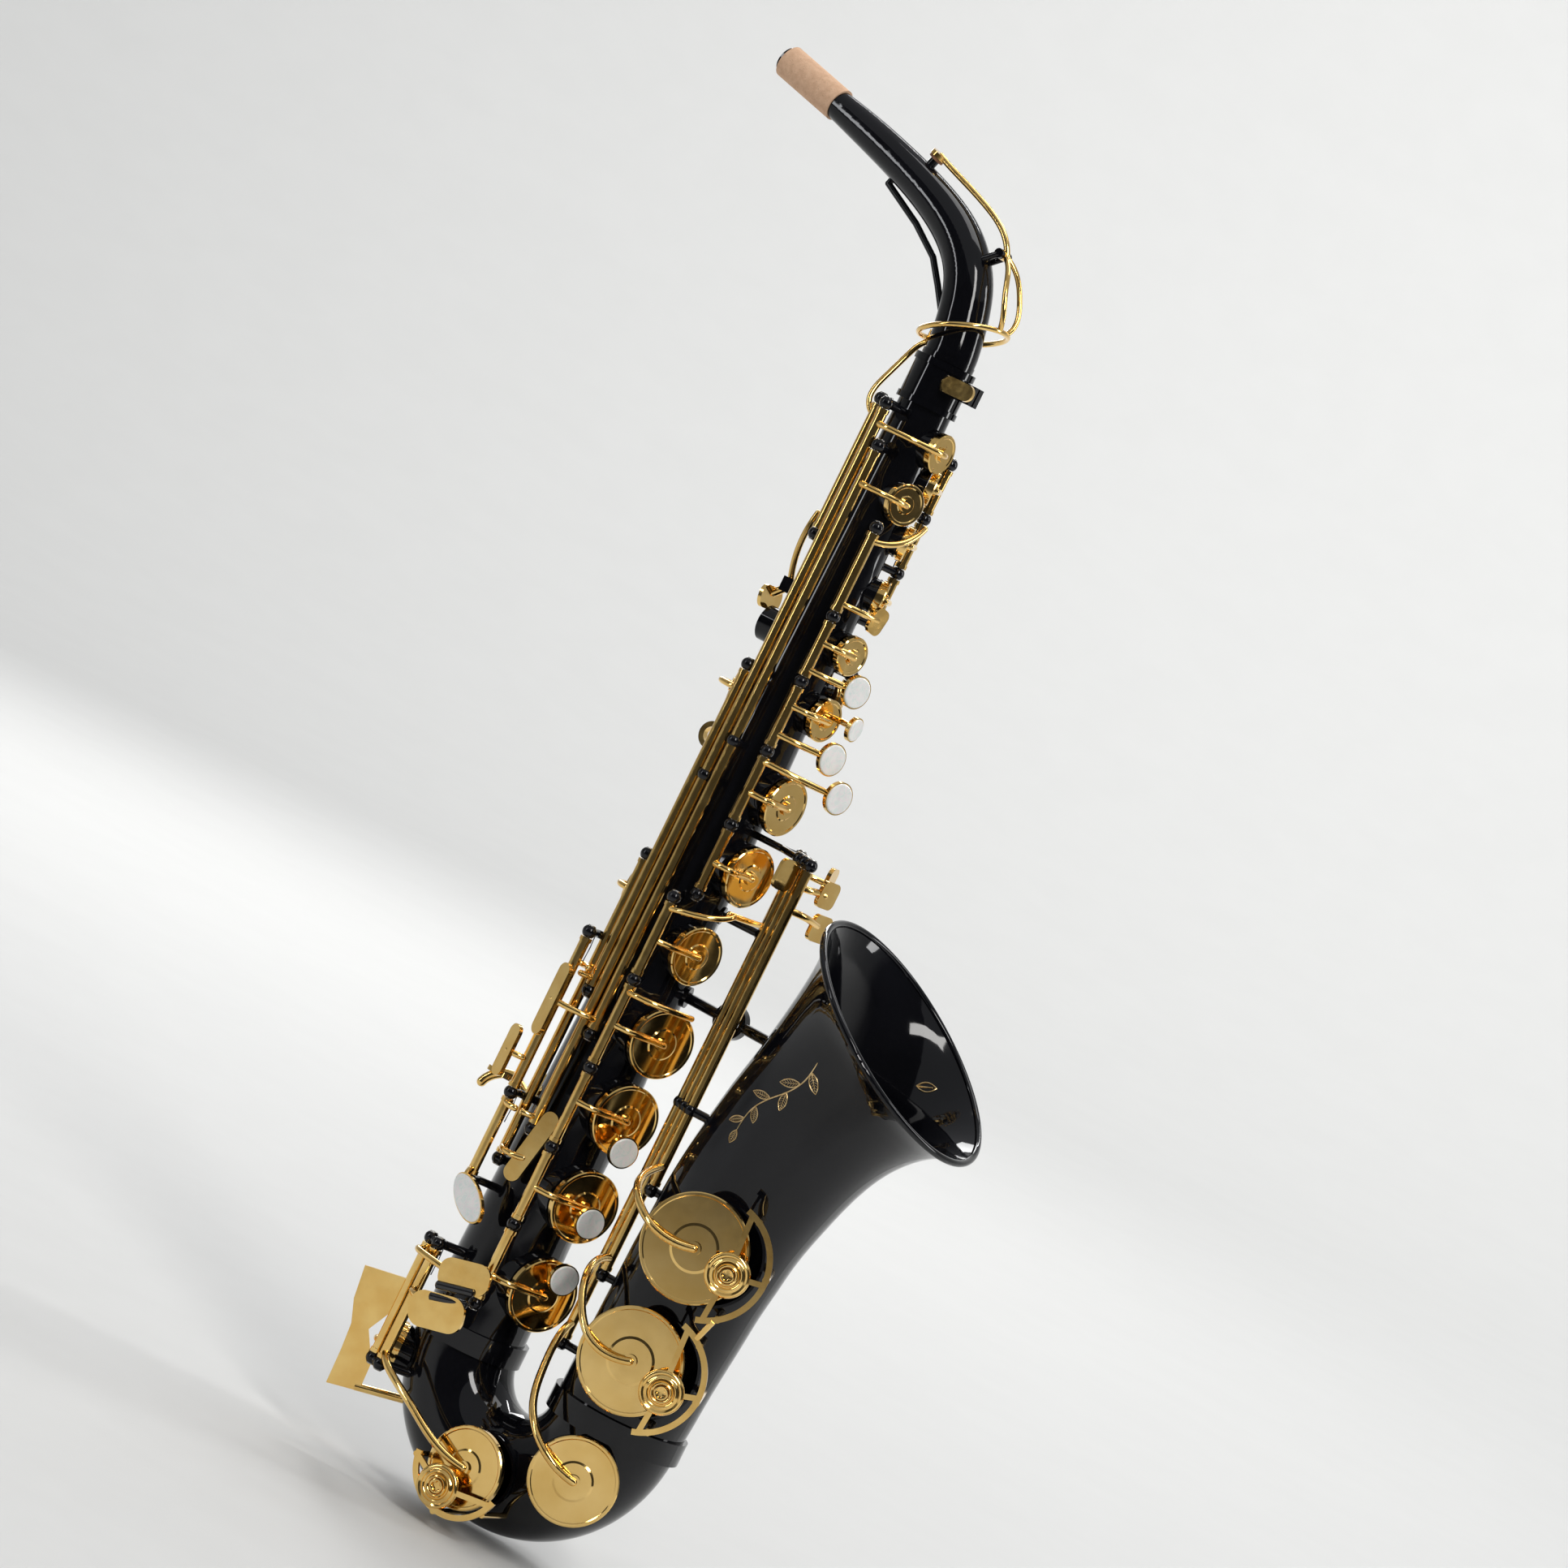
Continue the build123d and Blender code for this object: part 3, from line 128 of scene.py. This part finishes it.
nt.links.new(painted_shade_ramp.outputs["Result"], mx.inputs[0]); nt.links.new(old.outputs["Color"], mx.inputs[6])
# painted shade: the dark grey that the near side of the floor and wall turns to
mx.inputs[7].default_value = (0.11, 0.11, 0.115, 1)
nt.links.new(mx.outputs[2], nt.nodes["Principled BSDF"].inputs["Base Color"])

# pearl: pale pink and green clouding over the white
nt = PEARL.node_tree
tc = [n for n in nt.nodes if n.type == "TEX_COORD"][0]
wv = nt.nodes.new("ShaderNodeTexNoise"); wv.inputs["Scale"].default_value = 230; wv.inputs["Detail"].default_value = 3
wv.inputs["Distortion"].default_value = 2.5
nt.links.new(tc.outputs["Object"], wv.inputs["Vector"])
rp = nt.nodes.new("ShaderNodeValToRGB")
rp.color_ramp.elements[0].color = (0.78, 0.86, 0.84, 1); rp.color_ramp.elements[0].position = 0.36
rp.color_ramp.elements[1].color = (0.93, 0.86, 0.88, 1); rp.color_ramp.elements[1].position = 0.62
mid = rp.color_ramp.elements.new(0.5); mid.color = (0.92, 0.92, 0.90, 1)
nt.links.new(wv.outputs["Fac"], rp.inputs["Fac"])
mx = nt.nodes.new("ShaderNodeMix"); mx.data_type = "RGBA"; mx.blend_type = "MULTIPLY"; mx.inputs[0].default_value = 0.75
old = [n for n in nt.nodes if n.type == "VALTORGB" and n is not rp][0]
nt.links.new(old.outputs["Color"], mx.inputs[6]); nt.links.new(rp.outputs["Color"], mx.inputs[7])
nt.links.new(mx.outputs[2], nt.nodes["Principled BSDF"].inputs["Base Color"])
# cork: dark pores
nt = CORK.node_tree
tc = [n for n in nt.nodes if n.type == "TEX_COORD"][0]
vo = nt.nodes.new("ShaderNodeTexVoronoi"); vo.inputs["Scale"].default_value = 950
nt.links.new(tc.outputs["Object"], vo.inputs["Vector"])
vr = nt.nodes.new("ShaderNodeValToRGB")
vr.color_ramp.elements[0].color = (0.5, 0.5, 0.5, 1); vr.color_ramp.elements[0].position = 0.06
vr.color_ramp.elements[1].color = (1, 1, 1, 1); vr.color_ramp.elements[1].position = 0.22
nt.links.new(vo.outputs["Distance"], vr.inputs["Fac"])
mx = nt.nodes.new("ShaderNodeMix"); mx.data_type = "RGBA"; mx.blend_type = "MULTIPLY"; mx.inputs[0].default_value = 0.8
old = [n for n in nt.nodes if n.type == "VALTORGB" and n is not vr][0]
nt.links.new(old.outputs["Color"], mx.inputs[6]); nt.links.new(vr.outputs["Color"], mx.inputs[7])
nt.links.new(mx.outputs[2], nt.nodes["Principled BSDF"].inputs["Base Color"])

BLACK_NODES = {"body_tube", "bow", "bell", "body_bow_ring", "bow_bell_ring", "bell_brace", "neck_receiver", "key_posts",
               "neck_tube", "neck_saddle", "octave_saddle", "thumb_rest"}
def pick(name):
    if name in BLACK_NODES:
        return BLACK
    if name.endswith("_pearl"):
        return PEARL
    return {"pivot_rods": STEEL, "neck_cork": CORK, "neck_octave_pad": LEATHER}.get(name, GOLD)
for name, o in N.items():
    o.data.materials.clear()
    o.data.materials.append(pick(name))

# ------------------------------------------------------------------ key tables (drawing mm)
HOLES = {"b_key": ((0, 388), -6, 9.5), "a_key": ((0, 356), 0, 10.5), "g_key": ((0, 312), 0, 14.0),
         "g_lower_key": ((0, 276), -5, 14.8), "g_sharp_key": ((0, 233), -22, 14.2), "f_sharp_key": ((0, 190), -20, 16.8),
         "f_key": ((0, 151), -20, 17.2), "e_key": ((0, 107), -20, 17.6), "d_key": ((0, 62), -20, 17.8),
         "side_e_key": ((0, 461), -27, 10.0), "high_f_sharp_key": ((0, 489), -5, 9.6), "side_c_key": ((0, 352), -146, 9.5),
         "side_bb_key": ((0, 247), -167, 10.0), "palm_d_key": ((0, 417), 26, 9.0), "palm_eb_key": ((0, 445), 26, 8.6),
         "palm_f_key": ((0, 473), 28, 8.4), "bis_key": ((0, 366), 42, 7.5),
         "low_bb_key": ((94.0, 121), -65.0, 25.5), "low_b_key": ((90.2, 62), -65.0, 25.0),
         "low_c_sharp_key": ((80.2, 0), -62.0, 21.0), "low_c_key": ((47.0, -19), -84.0, 19.5), "low_eb_key": ((2.0, 8), -150, 12.0)}
BIGRIM = {"low_bb_key": 38.2, "low_b_key": 35.7, "low_c_sharp_key": 35.4, "low_c_key": 32.3, "low_eb_key": 28.6}
LINES = {"lh": (16, -21), "rh": (13, -34), "bis": (16, 21), "cr": (-18, -34), "lb": (51, -6), "bb": (56, -9.4)}
OPEN = {"b_key": ("lh", 9), "a_key": ("lh", 9), "g_key": ("lh", 9), "g_lower_key": ("lh", 9), "f_sharp_key": ("rh", 8),
        "f_key": ("rh", 8), "e_key": ("rh", 8), "d_key": ("rh", 8), "low_c_key": ("cr", 6), "low_b_key": ("lb", 8),
        "low_bb_key": ("bb", 8), "bis_key": ("bis", -8)}

def rim_of(k):
    (x, z), phi, rc = HOLES[k]
    if k in BIGRIM:
        return BIGRIM[k]
    return 12.5 + 0.025 * (525 - z) + (2.6 if rc > 12 else 2.4)

def pad_frame(k):
    """Point, direction and turn that bring drawing coordinates of the shut cup to where it rests."""
    (x, z), phi, rc = HOLES[k]
    n = Vector((math.cos(math.radians(phi)), math.sin(math.radians(phi)), 0))
    T = Matrix.Identity(4)
    if k in OPEN:
        ln, ang = OPEN[k]
        p = Vector((*LINES[ln], 0))
        T = Matrix.Translation(p) @ Matrix.Rotation(math.radians(-ang), 4, "Z") @ Matrix.Translation(-p)
    return Vector((x, 0, z)), n, T, rim_of(k), rc

# pads are leather, their faces are inside the cup's recess
for k in HOLES:
    o = N[k]
    c0, n, T, rim, rc = pad_frame(k)
    Ti = T.inverted()
    o.data.materials.append(LEATHER)
    o.data.materials.append(GOLD2)
    for p in o.data.polygons:
        c = o.matrix_world @ p.center * 1000.0 + RING
        c = Ti @ c - c0
        h = c.dot(n) - rim
        r = (c - n * c.dot(n)).length
        if h < 0.25 and h > 0.05 and r < rc - 0.5:
            p.material_index = 1
        elif h < 0.95 and h > 0.1 and r < rc - 0.6:
            p.material_index = 1
        elif -0.5 < h < 6.0 and r < rc + 0.6:
            p.material_index = 2

# ------------------------------------------------------------------ making pieces
def add_mesh(name, verts, faces, mat, smooth=True):
    me = bpy.data.meshes.new(name)
    me.from_pydata([tuple(v) for v in verts], [], faces)
    me.update()
    o = bpy.data.objects.new(name, me)
    bpy.context.scene.collection.objects.link(o)
    me.materials.append(mat)
    if smooth:
        for p in me.polygons:
            p.use_smooth = True
        try:
            me.set_sharp_from_angle(angle=math.radians(38))
        except Exception:
            pass
    return o

def basis(n):
    n = n.normalized()
    a = Vector((0, 0, 1)) if abs(n.z) < 0.9 else Vector((1, 0, 0))
    t = n.cross(a).normalized()
    return t, n.cross(t).normalized(), n

def lathe(name, origin, axis, profile, mat, seg=40, T=None, ring=False):
    """Profile of (radius, height) in mm turned about the axis; origin in drawing mm. A radius of 0 is a pole."""
    t, b, n = basis(Vector(axis))
    vs, fs, rows = [], [], []
    for r, h, *lobe in profile:
        if r <= 1e-6:
            p = Vector(origin) + n * h
            if T is not None:
                p = T @ p
            rows.append([len(vs)] * seg)
            vs.append(W(*p))
            continue
        rows.append(list(range(len(vs), len(vs) + seg)))
        for i in range(seg):
            a = 2 * math.pi * i / seg
            rr = r * (1 + (lobe[0] * math.cos(4 * a) if lobe else 0))
            p = Vector(origin) + n * h + (t * math.cos(a) + b * math.sin(a)) * rr
            if T is not None:
                p = T @ p
            vs.append(W(*p))
    pairs = list(zip(rows[:-1], rows[1:])) + ([(rows[-1], rows[0])] if ring else [])
    for q0, q1 in pairs:
        for i in range(seg):
            i2 = (i + 1) % seg
            f = []
            for v in (q0[i], q0[i2], q1[i2], q1[i]):
                if v not in f:
                    f.append(v)
            if len(f) > 2:
                fs.append(tuple(f))
    o = add_mesh(name, vs, fs, mat)
    bm = bmesh.new(); bm.from_mesh(o.data)
    bmesh.ops.recalc_face_normals(bm, faces=bm.faces)
    bm.to_mesh(o.data); bm.free()
    return o

def tube_path(name, pts, r, mat, seg=8, T=None, flat=1.0, cap=True):
    """Thin round wire along points (drawing mm)."""
    P = [Vector(p) for p in pts]
    vs, fs = [], []
    up = Vector((0, 0, 1))
    for i, p in enumerate(P):
        d = (P[min(i + 1, len(P) - 1)] - P[max(i - 1, 0)]).normalized()
        a = d.cross(up)
        if a.length < 1e-4:
            a = d.cross(Vector((1, 0, 0)))
        a.normalize(); b = d.cross(a).normalized()
        rr = r[i] if isinstance(r, (list, tuple)) else r
        for j in range(seg):
            t = 2 * math.pi * j / seg
            q = p + a * math.cos(t) * rr + b * math.sin(t) * rr * flat
            if T is not None:
                q = T @ q
            vs.append(W(*q))
    for i in range(len(P) - 1):
        for j in range(seg):
            j2 = (j + 1) % seg
            fs.append((i * seg + j, i * seg + j2, (i + 1) * seg + j2, (i + 1) * seg + j))
    if cap:
        fs.append(tuple(range(seg))[::-1]); fs.append(tuple(range((len(P) - 1) * seg, len(P) * seg)))
    return add_mesh(name, vs, fs, mat)

def join(name, objs):
    with bpy.context.temp_override(active_object=objs[0], selected_editable_objects=objs, object=objs[0], selected_objects=objs):
        bpy.ops.object.join()
    objs[0].name = name
    return objs[0]

# resonators on the pads wider than 8.8 mm
for k in HOLES:
    c0, n, T, rim, rc = pad_frame(k)
    o0 = c0 + n * (rim + 0.15)
    rr = rc * 0.34
    res = lathe("resonator." + k, o0, -n, [(0, 0.46), (rr * 0.16, 0.44), (rr * 0.22, 0.30), (rr * 0.8, 0.24), (rr * 0.96, 0.16), (rr, 0.03), (rr * 0.97, -0.05), (0, -0.05)],
                GOLD, 32, T) if rc > 8.8 else None
    if res:
        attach(res, k)

# guard felts
GUARD = {"low_bb_key": (11.5, -3.0, 13.2), "low_b_key": (11.5, -5.0, 13.2), "low_c_key": (-6.5, -12.0, 13.4)}
for k, (s, dz, hb) in GUARD.items():
    c0, n, T, rim, rc = pad_frame(k)
    t = Vector((-n.y, n.x, 0))
    h = rim + 0.15 + 4.1 + hb
    c = c0 + n * h + t * s + Vector((0, 0, dz))
    felt = lathe("felt." + k, c, n, [(0, -3.0), (5.4, -3.0), (5.8, -2.8), (5.9, -2.2), (5.8, -1.5), (5.4, -1.3), (0, -1.3)], FELT, 40)
    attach(felt, "body")
    hub = lathe("hub", c, n, [(3.7, -0.85), (3.7, 1.7), (3.95, 2.15), (4.4, 2.35), (4.85, 2.15), (5.1, 1.6), (5.35, 1.25), (5.8, 1.2), (6.2, 1.7), (6.7, 1.95), (7.2, 1.7),
                              (7.6, 1.15), (8.1, 1.0), (8.6, 1.3), (9.1, 1.55), (9.7, 1.4), (10.2, 0.8), (10.5, 0.1), (10.3, -0.5), (9.7, -0.85)], GOLD, 64, ring=True)
    screw = lathe("screw", c, n, [(0, -1.25), (3.0, -1.25), (3.55, -1.1), (3.6, 1.5), (3.35, 1.95), (2.9, 2.1), (2.35, 2.0, 0.06), (2.0, 1.6, 0.2), (1.9, 0.2, 0.22), (0, 0.1)], GOLD, 48)
    g = join("bumper." + k, [hub, screw])
    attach(g, "body"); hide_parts("guard_bumpers")

# screw heads with a shallow round recess at the ends of the hinge rods
RODS = {"lh": ((16, -21), 257.0, 448.5), "rh": ((13, -34), 44.5, 257.0), "s1": ((1.3, -27), 177.5, 482.5),
        "s2": ((-4.7, -26.6), 126.0, 501.5), "s3": ((-10.5, -24.9), 194.5, 366.5), "s3b": ((-16, -21.8), 106.0, 267.5),
        "s4": ((-21, -30), 92.0, 224.0), "ebr": ((-25, -30), -2.5, 64.5), "cr": ((-18, -34), -2.5, 64.5),
        "palm": ((11.5, 25.2), 401.5, 489.5), "bis": ((16, 21), 347.5, 381.5), "gsl": ((38, 12), 251.5, 297.0),
        "cs": ((46, -2.6), 44.0, 297.0), "lb": ((51, -6), 81.0, 297.0), "bb": ((56, -9.4), 126.5, 297.0),
        "oct": ((-17, -10.5), 428.5, 502.5)}
heads = []
for nme, ((x, y), z0, z1) in RODS.items():
    for z, d in ((z0, -1), (z1, 1)):
        heads.append(lathe("sh", (x, y, z), (0, 0, d), [(0, -0.02), (1.9, -0.02), (2.05, 0.15), (2.05, 0.45), (1.75, 0.7), (0.5, 0.72), (0.42, 0.38), (0, 0.38)], STEEL, 24))
hd = join("rod_screw_heads", heads)
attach(hd, "body")

# needle springs: blued steel wires from a post toward the key
SPR = material("blued_spring", (0.10, 0.12, 0.20), (0.05, 0.06, 0.12), metallic=1.0, rough=0.3, rvar=0.05, scale=300, bump=0.05)
spr = []
for (x, y), z, dz in (((16, -21), 295.0, 13), ((16, -21), 332.5, 14), ((16, -21), 368.0, 11), ((16, -21), 401.0, -11), ((13, -34), 87.5, 15),
                      ((13, -34), 127.0, 15), ((13, -34), 167.5, 15), ((13, -34), 212.5, -13), ((-21, -30), 139.0, -14), ((-21, -30), 221.5, -14),
                      ((-25, -30), 62.0, -15), ((-18, -34), 62.0, -15), ((1.3, -27), 480.0, -14), ((-4.7, -26.6), 499.0, -14),
                      ((11.5, 25.2), 431.0, 9), ((11.5, 25.2), 459.0, 9), ((51, -6), 83.5, 15), ((56, -9.4), 129.0, 15)):
    d = Vector((-x, -y, 0)).normalized()
    s = Vector((x, y, z)) + d * 3.6
    spr.append(tube_path("sp", [s, s + Vector((0, 0, dz * 0.5)) + d * 0.3, s + Vector((0, 0, dz))], 0.28, SPR, 6))
sp = join("needle_springs", spr)
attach(sp, "body")

# rollers between the low E flat and low C touches
def touch_roller(name, c, body):
    ax = Vector((1, 0.2, 0.25)).normalized()
    c = Vector(c)
    pr = [(0, -9.5), (1.2, -9.5), (1.9, -9.0), (1.95, 0), (1.9, 9.0), (1.2, 9.5), (0, 9.5)]
    r = lathe(name, c, ax, pr, ROLLER, 24)
    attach(r, body)
touch_roller("roller_eb", (8.2, -48.6, 50.3), "low_eb_key")
touch_roller("roller_c", (7.6, -48.3, 44.2), "low_c_key")

# ------------------------------------------------------------------ engraving on the bell
CAMDIR = Vector((0.469, -0.883, 0.0)).normalized()
EX = Vector((0.883, 0.469, 0.0)).normalized()
me = N["bell"].data
bvh = BVHTree.FromPolygons([tuple((N["bell"].matrix_world @ v.co) * 1000 + RING) for v in me.vertices], [tuple(p.vertices) for p in me.polygons])
def on_bell(e, z, lift=0.12):
    o = EX * e + CAMDIR * 400 + Vector((0, 0, z))
    hit, nrm, idx, dist = bvh.ray_cast(o, -CAMDIR)
    if hit is None:
        return None
    if nrm.dot(CAMDIR) < 0:
        nrm = -nrm
    return hit + nrm * lift
def px(x, y):
    dx, dy = x - 546, y - 1715
    return (0.898 * dx + 0.440 * dy) / 2.67, (0.440 * dx - 0.898 * dy) / 2.67
def bez(pts, n=26):
    out = []
    k = len(pts)
    for i in range(n + 1):
        t = i / n * (k - 1)
        j = min(int(t), k - 2); u = t - j
        p0, p1, p2, p3 = (Vector(pts[max(j - 1, 0)]), Vector(pts[j]), Vector(pts[j + 1]), Vector(pts[min(j + 2, k - 1)]))
        out.append(0.5 * ((2 * p1) + (p2 - p0) * u + (2 * p0 - 5 * p1 + 4 * p2 - p3) * u * u + (3 * p1 - p0 - 3 * p2 + p3) * u ** 3))
    return out
def vine(pts, r, n=26, close=False):
    q = bez(pts + ([pts[0]] if close else []), n)
    P = []
    for v in q:
        e, z = px(v.x, v.y)
        h = on_bell(e, z)
        if h is not None:
            P.append(h)
    if len(P) < 3:
        return None
    m = len(P)
    rr = [r * (0.35 + 0.65 * math.sin(math.pi * min(1, (i + 0.6) / m)) ** 0.5) for i in range(m)]
    return tube_path("v", P, rr, ENGRAVE, 6, flat=1.0)
# plain sprig, drawn by formula: an evenly waved stem with almond leaves on alternate sides
def stem(t):
    w = 7.0 * math.sin(2 * math.pi * t)
    return Vector((1012 - 98 * t + 0.66 * w, 1286 + 86 * t + 0.75 * w))
def almond(base, ang, L, w):
    c, s = math.cos(ang), math.sin(ang)
    def at(u, v):
        return (base[0] + c * L * u - s * v, base[1] + s * L * u + c * v)
    us = [i / 6 for i in range(7)]
    out = [([at(u, k * w * math.sin(math.pi * u) ** 0.85) for u in us], 0.30) for k in (1, -1)]
    out.append(([at(u, 0) for u in us[:-1]], 0.17))
    for i in range(1, 8):
        u = i / 8
        h = w * math.sin(math.pi * u) ** 0.85
        for k in (1, -1):
            out.append(([at(u - 0.06, k * h * 0.12), at(u, k * h * 0.5), at(u + 0.05, k * h * 0.84)], 0.10))
    return out
V2 = [([tuple(stem(i / 14)) for i in range(15)], 0.40)]
for i in range(6):
    t = 0.10 + 0.155 * i
    d = stem(t + 0.01) - stem(t - 0.01)
    V2 += almond(stem(t), math.atan2(d.y, d.x) + (0.75 if i % 2 else -0.75), 27 - 1.6 * i, 5.2 - 0.3 * i)
d = stem(1.0) - stem(0.98)
V2 += almond(stem(1.0), math.atan2(d.y, d.x), 18, 3.8)
vs = []
for pts, rad in V2:
    o = vine(list(pts), rad, 4 if len(pts) == 3 else 4 * len(pts))
    if o:
        vs.append(o)
eng = join("bell_engraving", vs)
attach(eng, "body")

# small plain leaf ornament inside the bell mouth
def in_bell(x, y):
    e, z = px(x, y)
    o = EX * e + CAMDIR * 400 + Vector((0, 0, z))
    hit, nrm, idx, dist = bvh.ray_cast(o, -CAMDIR)
    if hit is None:
        return None
    if nrm.dot(CAMDIR) < 0:
        nrm = -nrm
    return hit + nrm * 0.15
orn = []
for pts, rad in almond((1129, 1335), 0.12, 25, 5.5)[:3]:
    P = [in_bell(v.x, v.y) for v in bez(list(pts), 18)]
    P = [p for p in P if p is not None]
    if len(P) > 3:
        orn.append(tube_path("o", P, 0.38, ENGRAVE, 6))
if orn:
    oo = join("bell_ornament", orn)
    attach(oo, "body")

# ------------------------------------------------------------------ stage, light, camera
def plane(name, sx, sy, loc, rot=(0, 0, 0)):
    bpy.ops.mesh.primitive_plane_add(size=1, location=loc, rotation=rot)
    o = bpy.context.object; o.name = name; o.scale = (sx, sy, 1)
    return o
# seamless pale sweep: a flat floor that turns up all round into a plain wall; on the near side its material carries
# painted shade that darkens it to grey
def sweep():
    z0, R, r = -0.376, 6.5, 3.2
    prof = [(0.0, z0), (0.6, z0), (1.5, z0), (R - r, z0)]
    prof += [(R - r + r * math.sin(a), z0 + r - r * math.cos(a)) for a in [math.radians(6 * i) for i in range(1, 16)]]
    prof += [(R, z0 + r + 1.2)]
    seg, vs, fs = 96, [(0, 0, z0)], []
    for q, z in prof[1:]:
        vs += [(q * math.cos(2 * math.pi * i / seg), q * math.sin(2 * math.pi * i / seg), z) for i in range(seg)]
    for i in range(seg):
        fs.append((0, 1 + i, 1 + (i + 1) % seg))
    for j in range(len(prof) - 2):
        for i in range(seg):
            i2 = (i + 1) % seg
            o = 1 + j * seg
            fs.append((o + i, o + seg + i, o + seg + i2, o + i2))
    me = bpy.data.meshes.new("floor")
    me.from_pydata(vs, [], fs); me.update()
    o = bpy.data.objects.new("floor", me)
    bpy.context.scene.collection.objects.link(o)
    for p in me.polygons:
        p.use_smooth = True
    me.materials.append(FLOORM)
    return o
sweep()

def area(name, loc, target, size, sy, power, col=(1, 1, 1)):
    l = bpy.data.lights.new(name, "AREA"); l.shape = "RECTANGLE"; l.size = size; l.size_y = sy; l.energy = power; l.color = col
    o = bpy.data.objects.new(name, l); o.location = loc
    o.rotation_euler = (Vector(target) - Vector(loc)).to_track_quat("-Z", "Y").to_euler()
    bpy.context.scene.collection.objects.link(o)
    return o
T0 = (0.04, 0.0, 0.0)
area("key", (1.75, -1.45, 1.55), T0, 0.45, 1.6, 34, (1, 0.985, 0.96))
area("fill", (-1.55, -2.1, 0.75), T0, 0.22, 1.7, 11, (0.95, 0.97, 1))
area("top", (0.3, 0.5, 2.6), (0.04, 0.6, -0.3), 1.5, 1.5, 22)
area("rim", (-1.5, 1.7, 1.2), T0, 0.5, 1.6, 20)
area("rim_right", (1.9, 1.2, 0.9), T0, 0.35, 1.6, 15)
area("wall", (-0.9, 3.2, 3.4), (-1.6, 5.4, 0.3), 2.0, 1.0, 130)
w = bpy.data.worlds.new("world"); bpy.context.scene.world = w; w.use_nodes = True
w.node_tree.nodes["Background"].inputs["Color"].default_value = (0.95, 0.97, 1, 1)
w.node_tree.nodes["Background"].inputs["Strength"].default_value = 0.42

cam = bpy.data.cameras.new("cam"); cam.lens = 135; cam.sensor_width = 36
co = bpy.data.objects.new("cam", cam); bpy.context.scene.collection.objects.link(co)
az, el = math.radians(28), math.radians(3)
D = 0.7236 * 135 / 36
A = W(15.7, 8.4, 321)
back = Vector((math.sin(az) * math.cos(el), -math.cos(az) * math.cos(el), math.sin(el)))
r0 = Vector((math.cos(az), math.sin(az), 0)); u0 = back.cross(r0)
r = r0 * 0.898 + u0 * 0.440; u = u0 * 0.898 - r0 * 0.440
r.normalize(); u = back.cross(r).normalized()
M = Matrix((r, u, back)).transposed().to_4x4()
M.translation = A + back * D
co.matrix_world = M
bpy.context.scene.camera = co

sc = bpy.context.scene
sc.view_settings.view_transform = "Standard"
sc.view_settings.look = "None"
sc.view_settings.exposure = 0.0
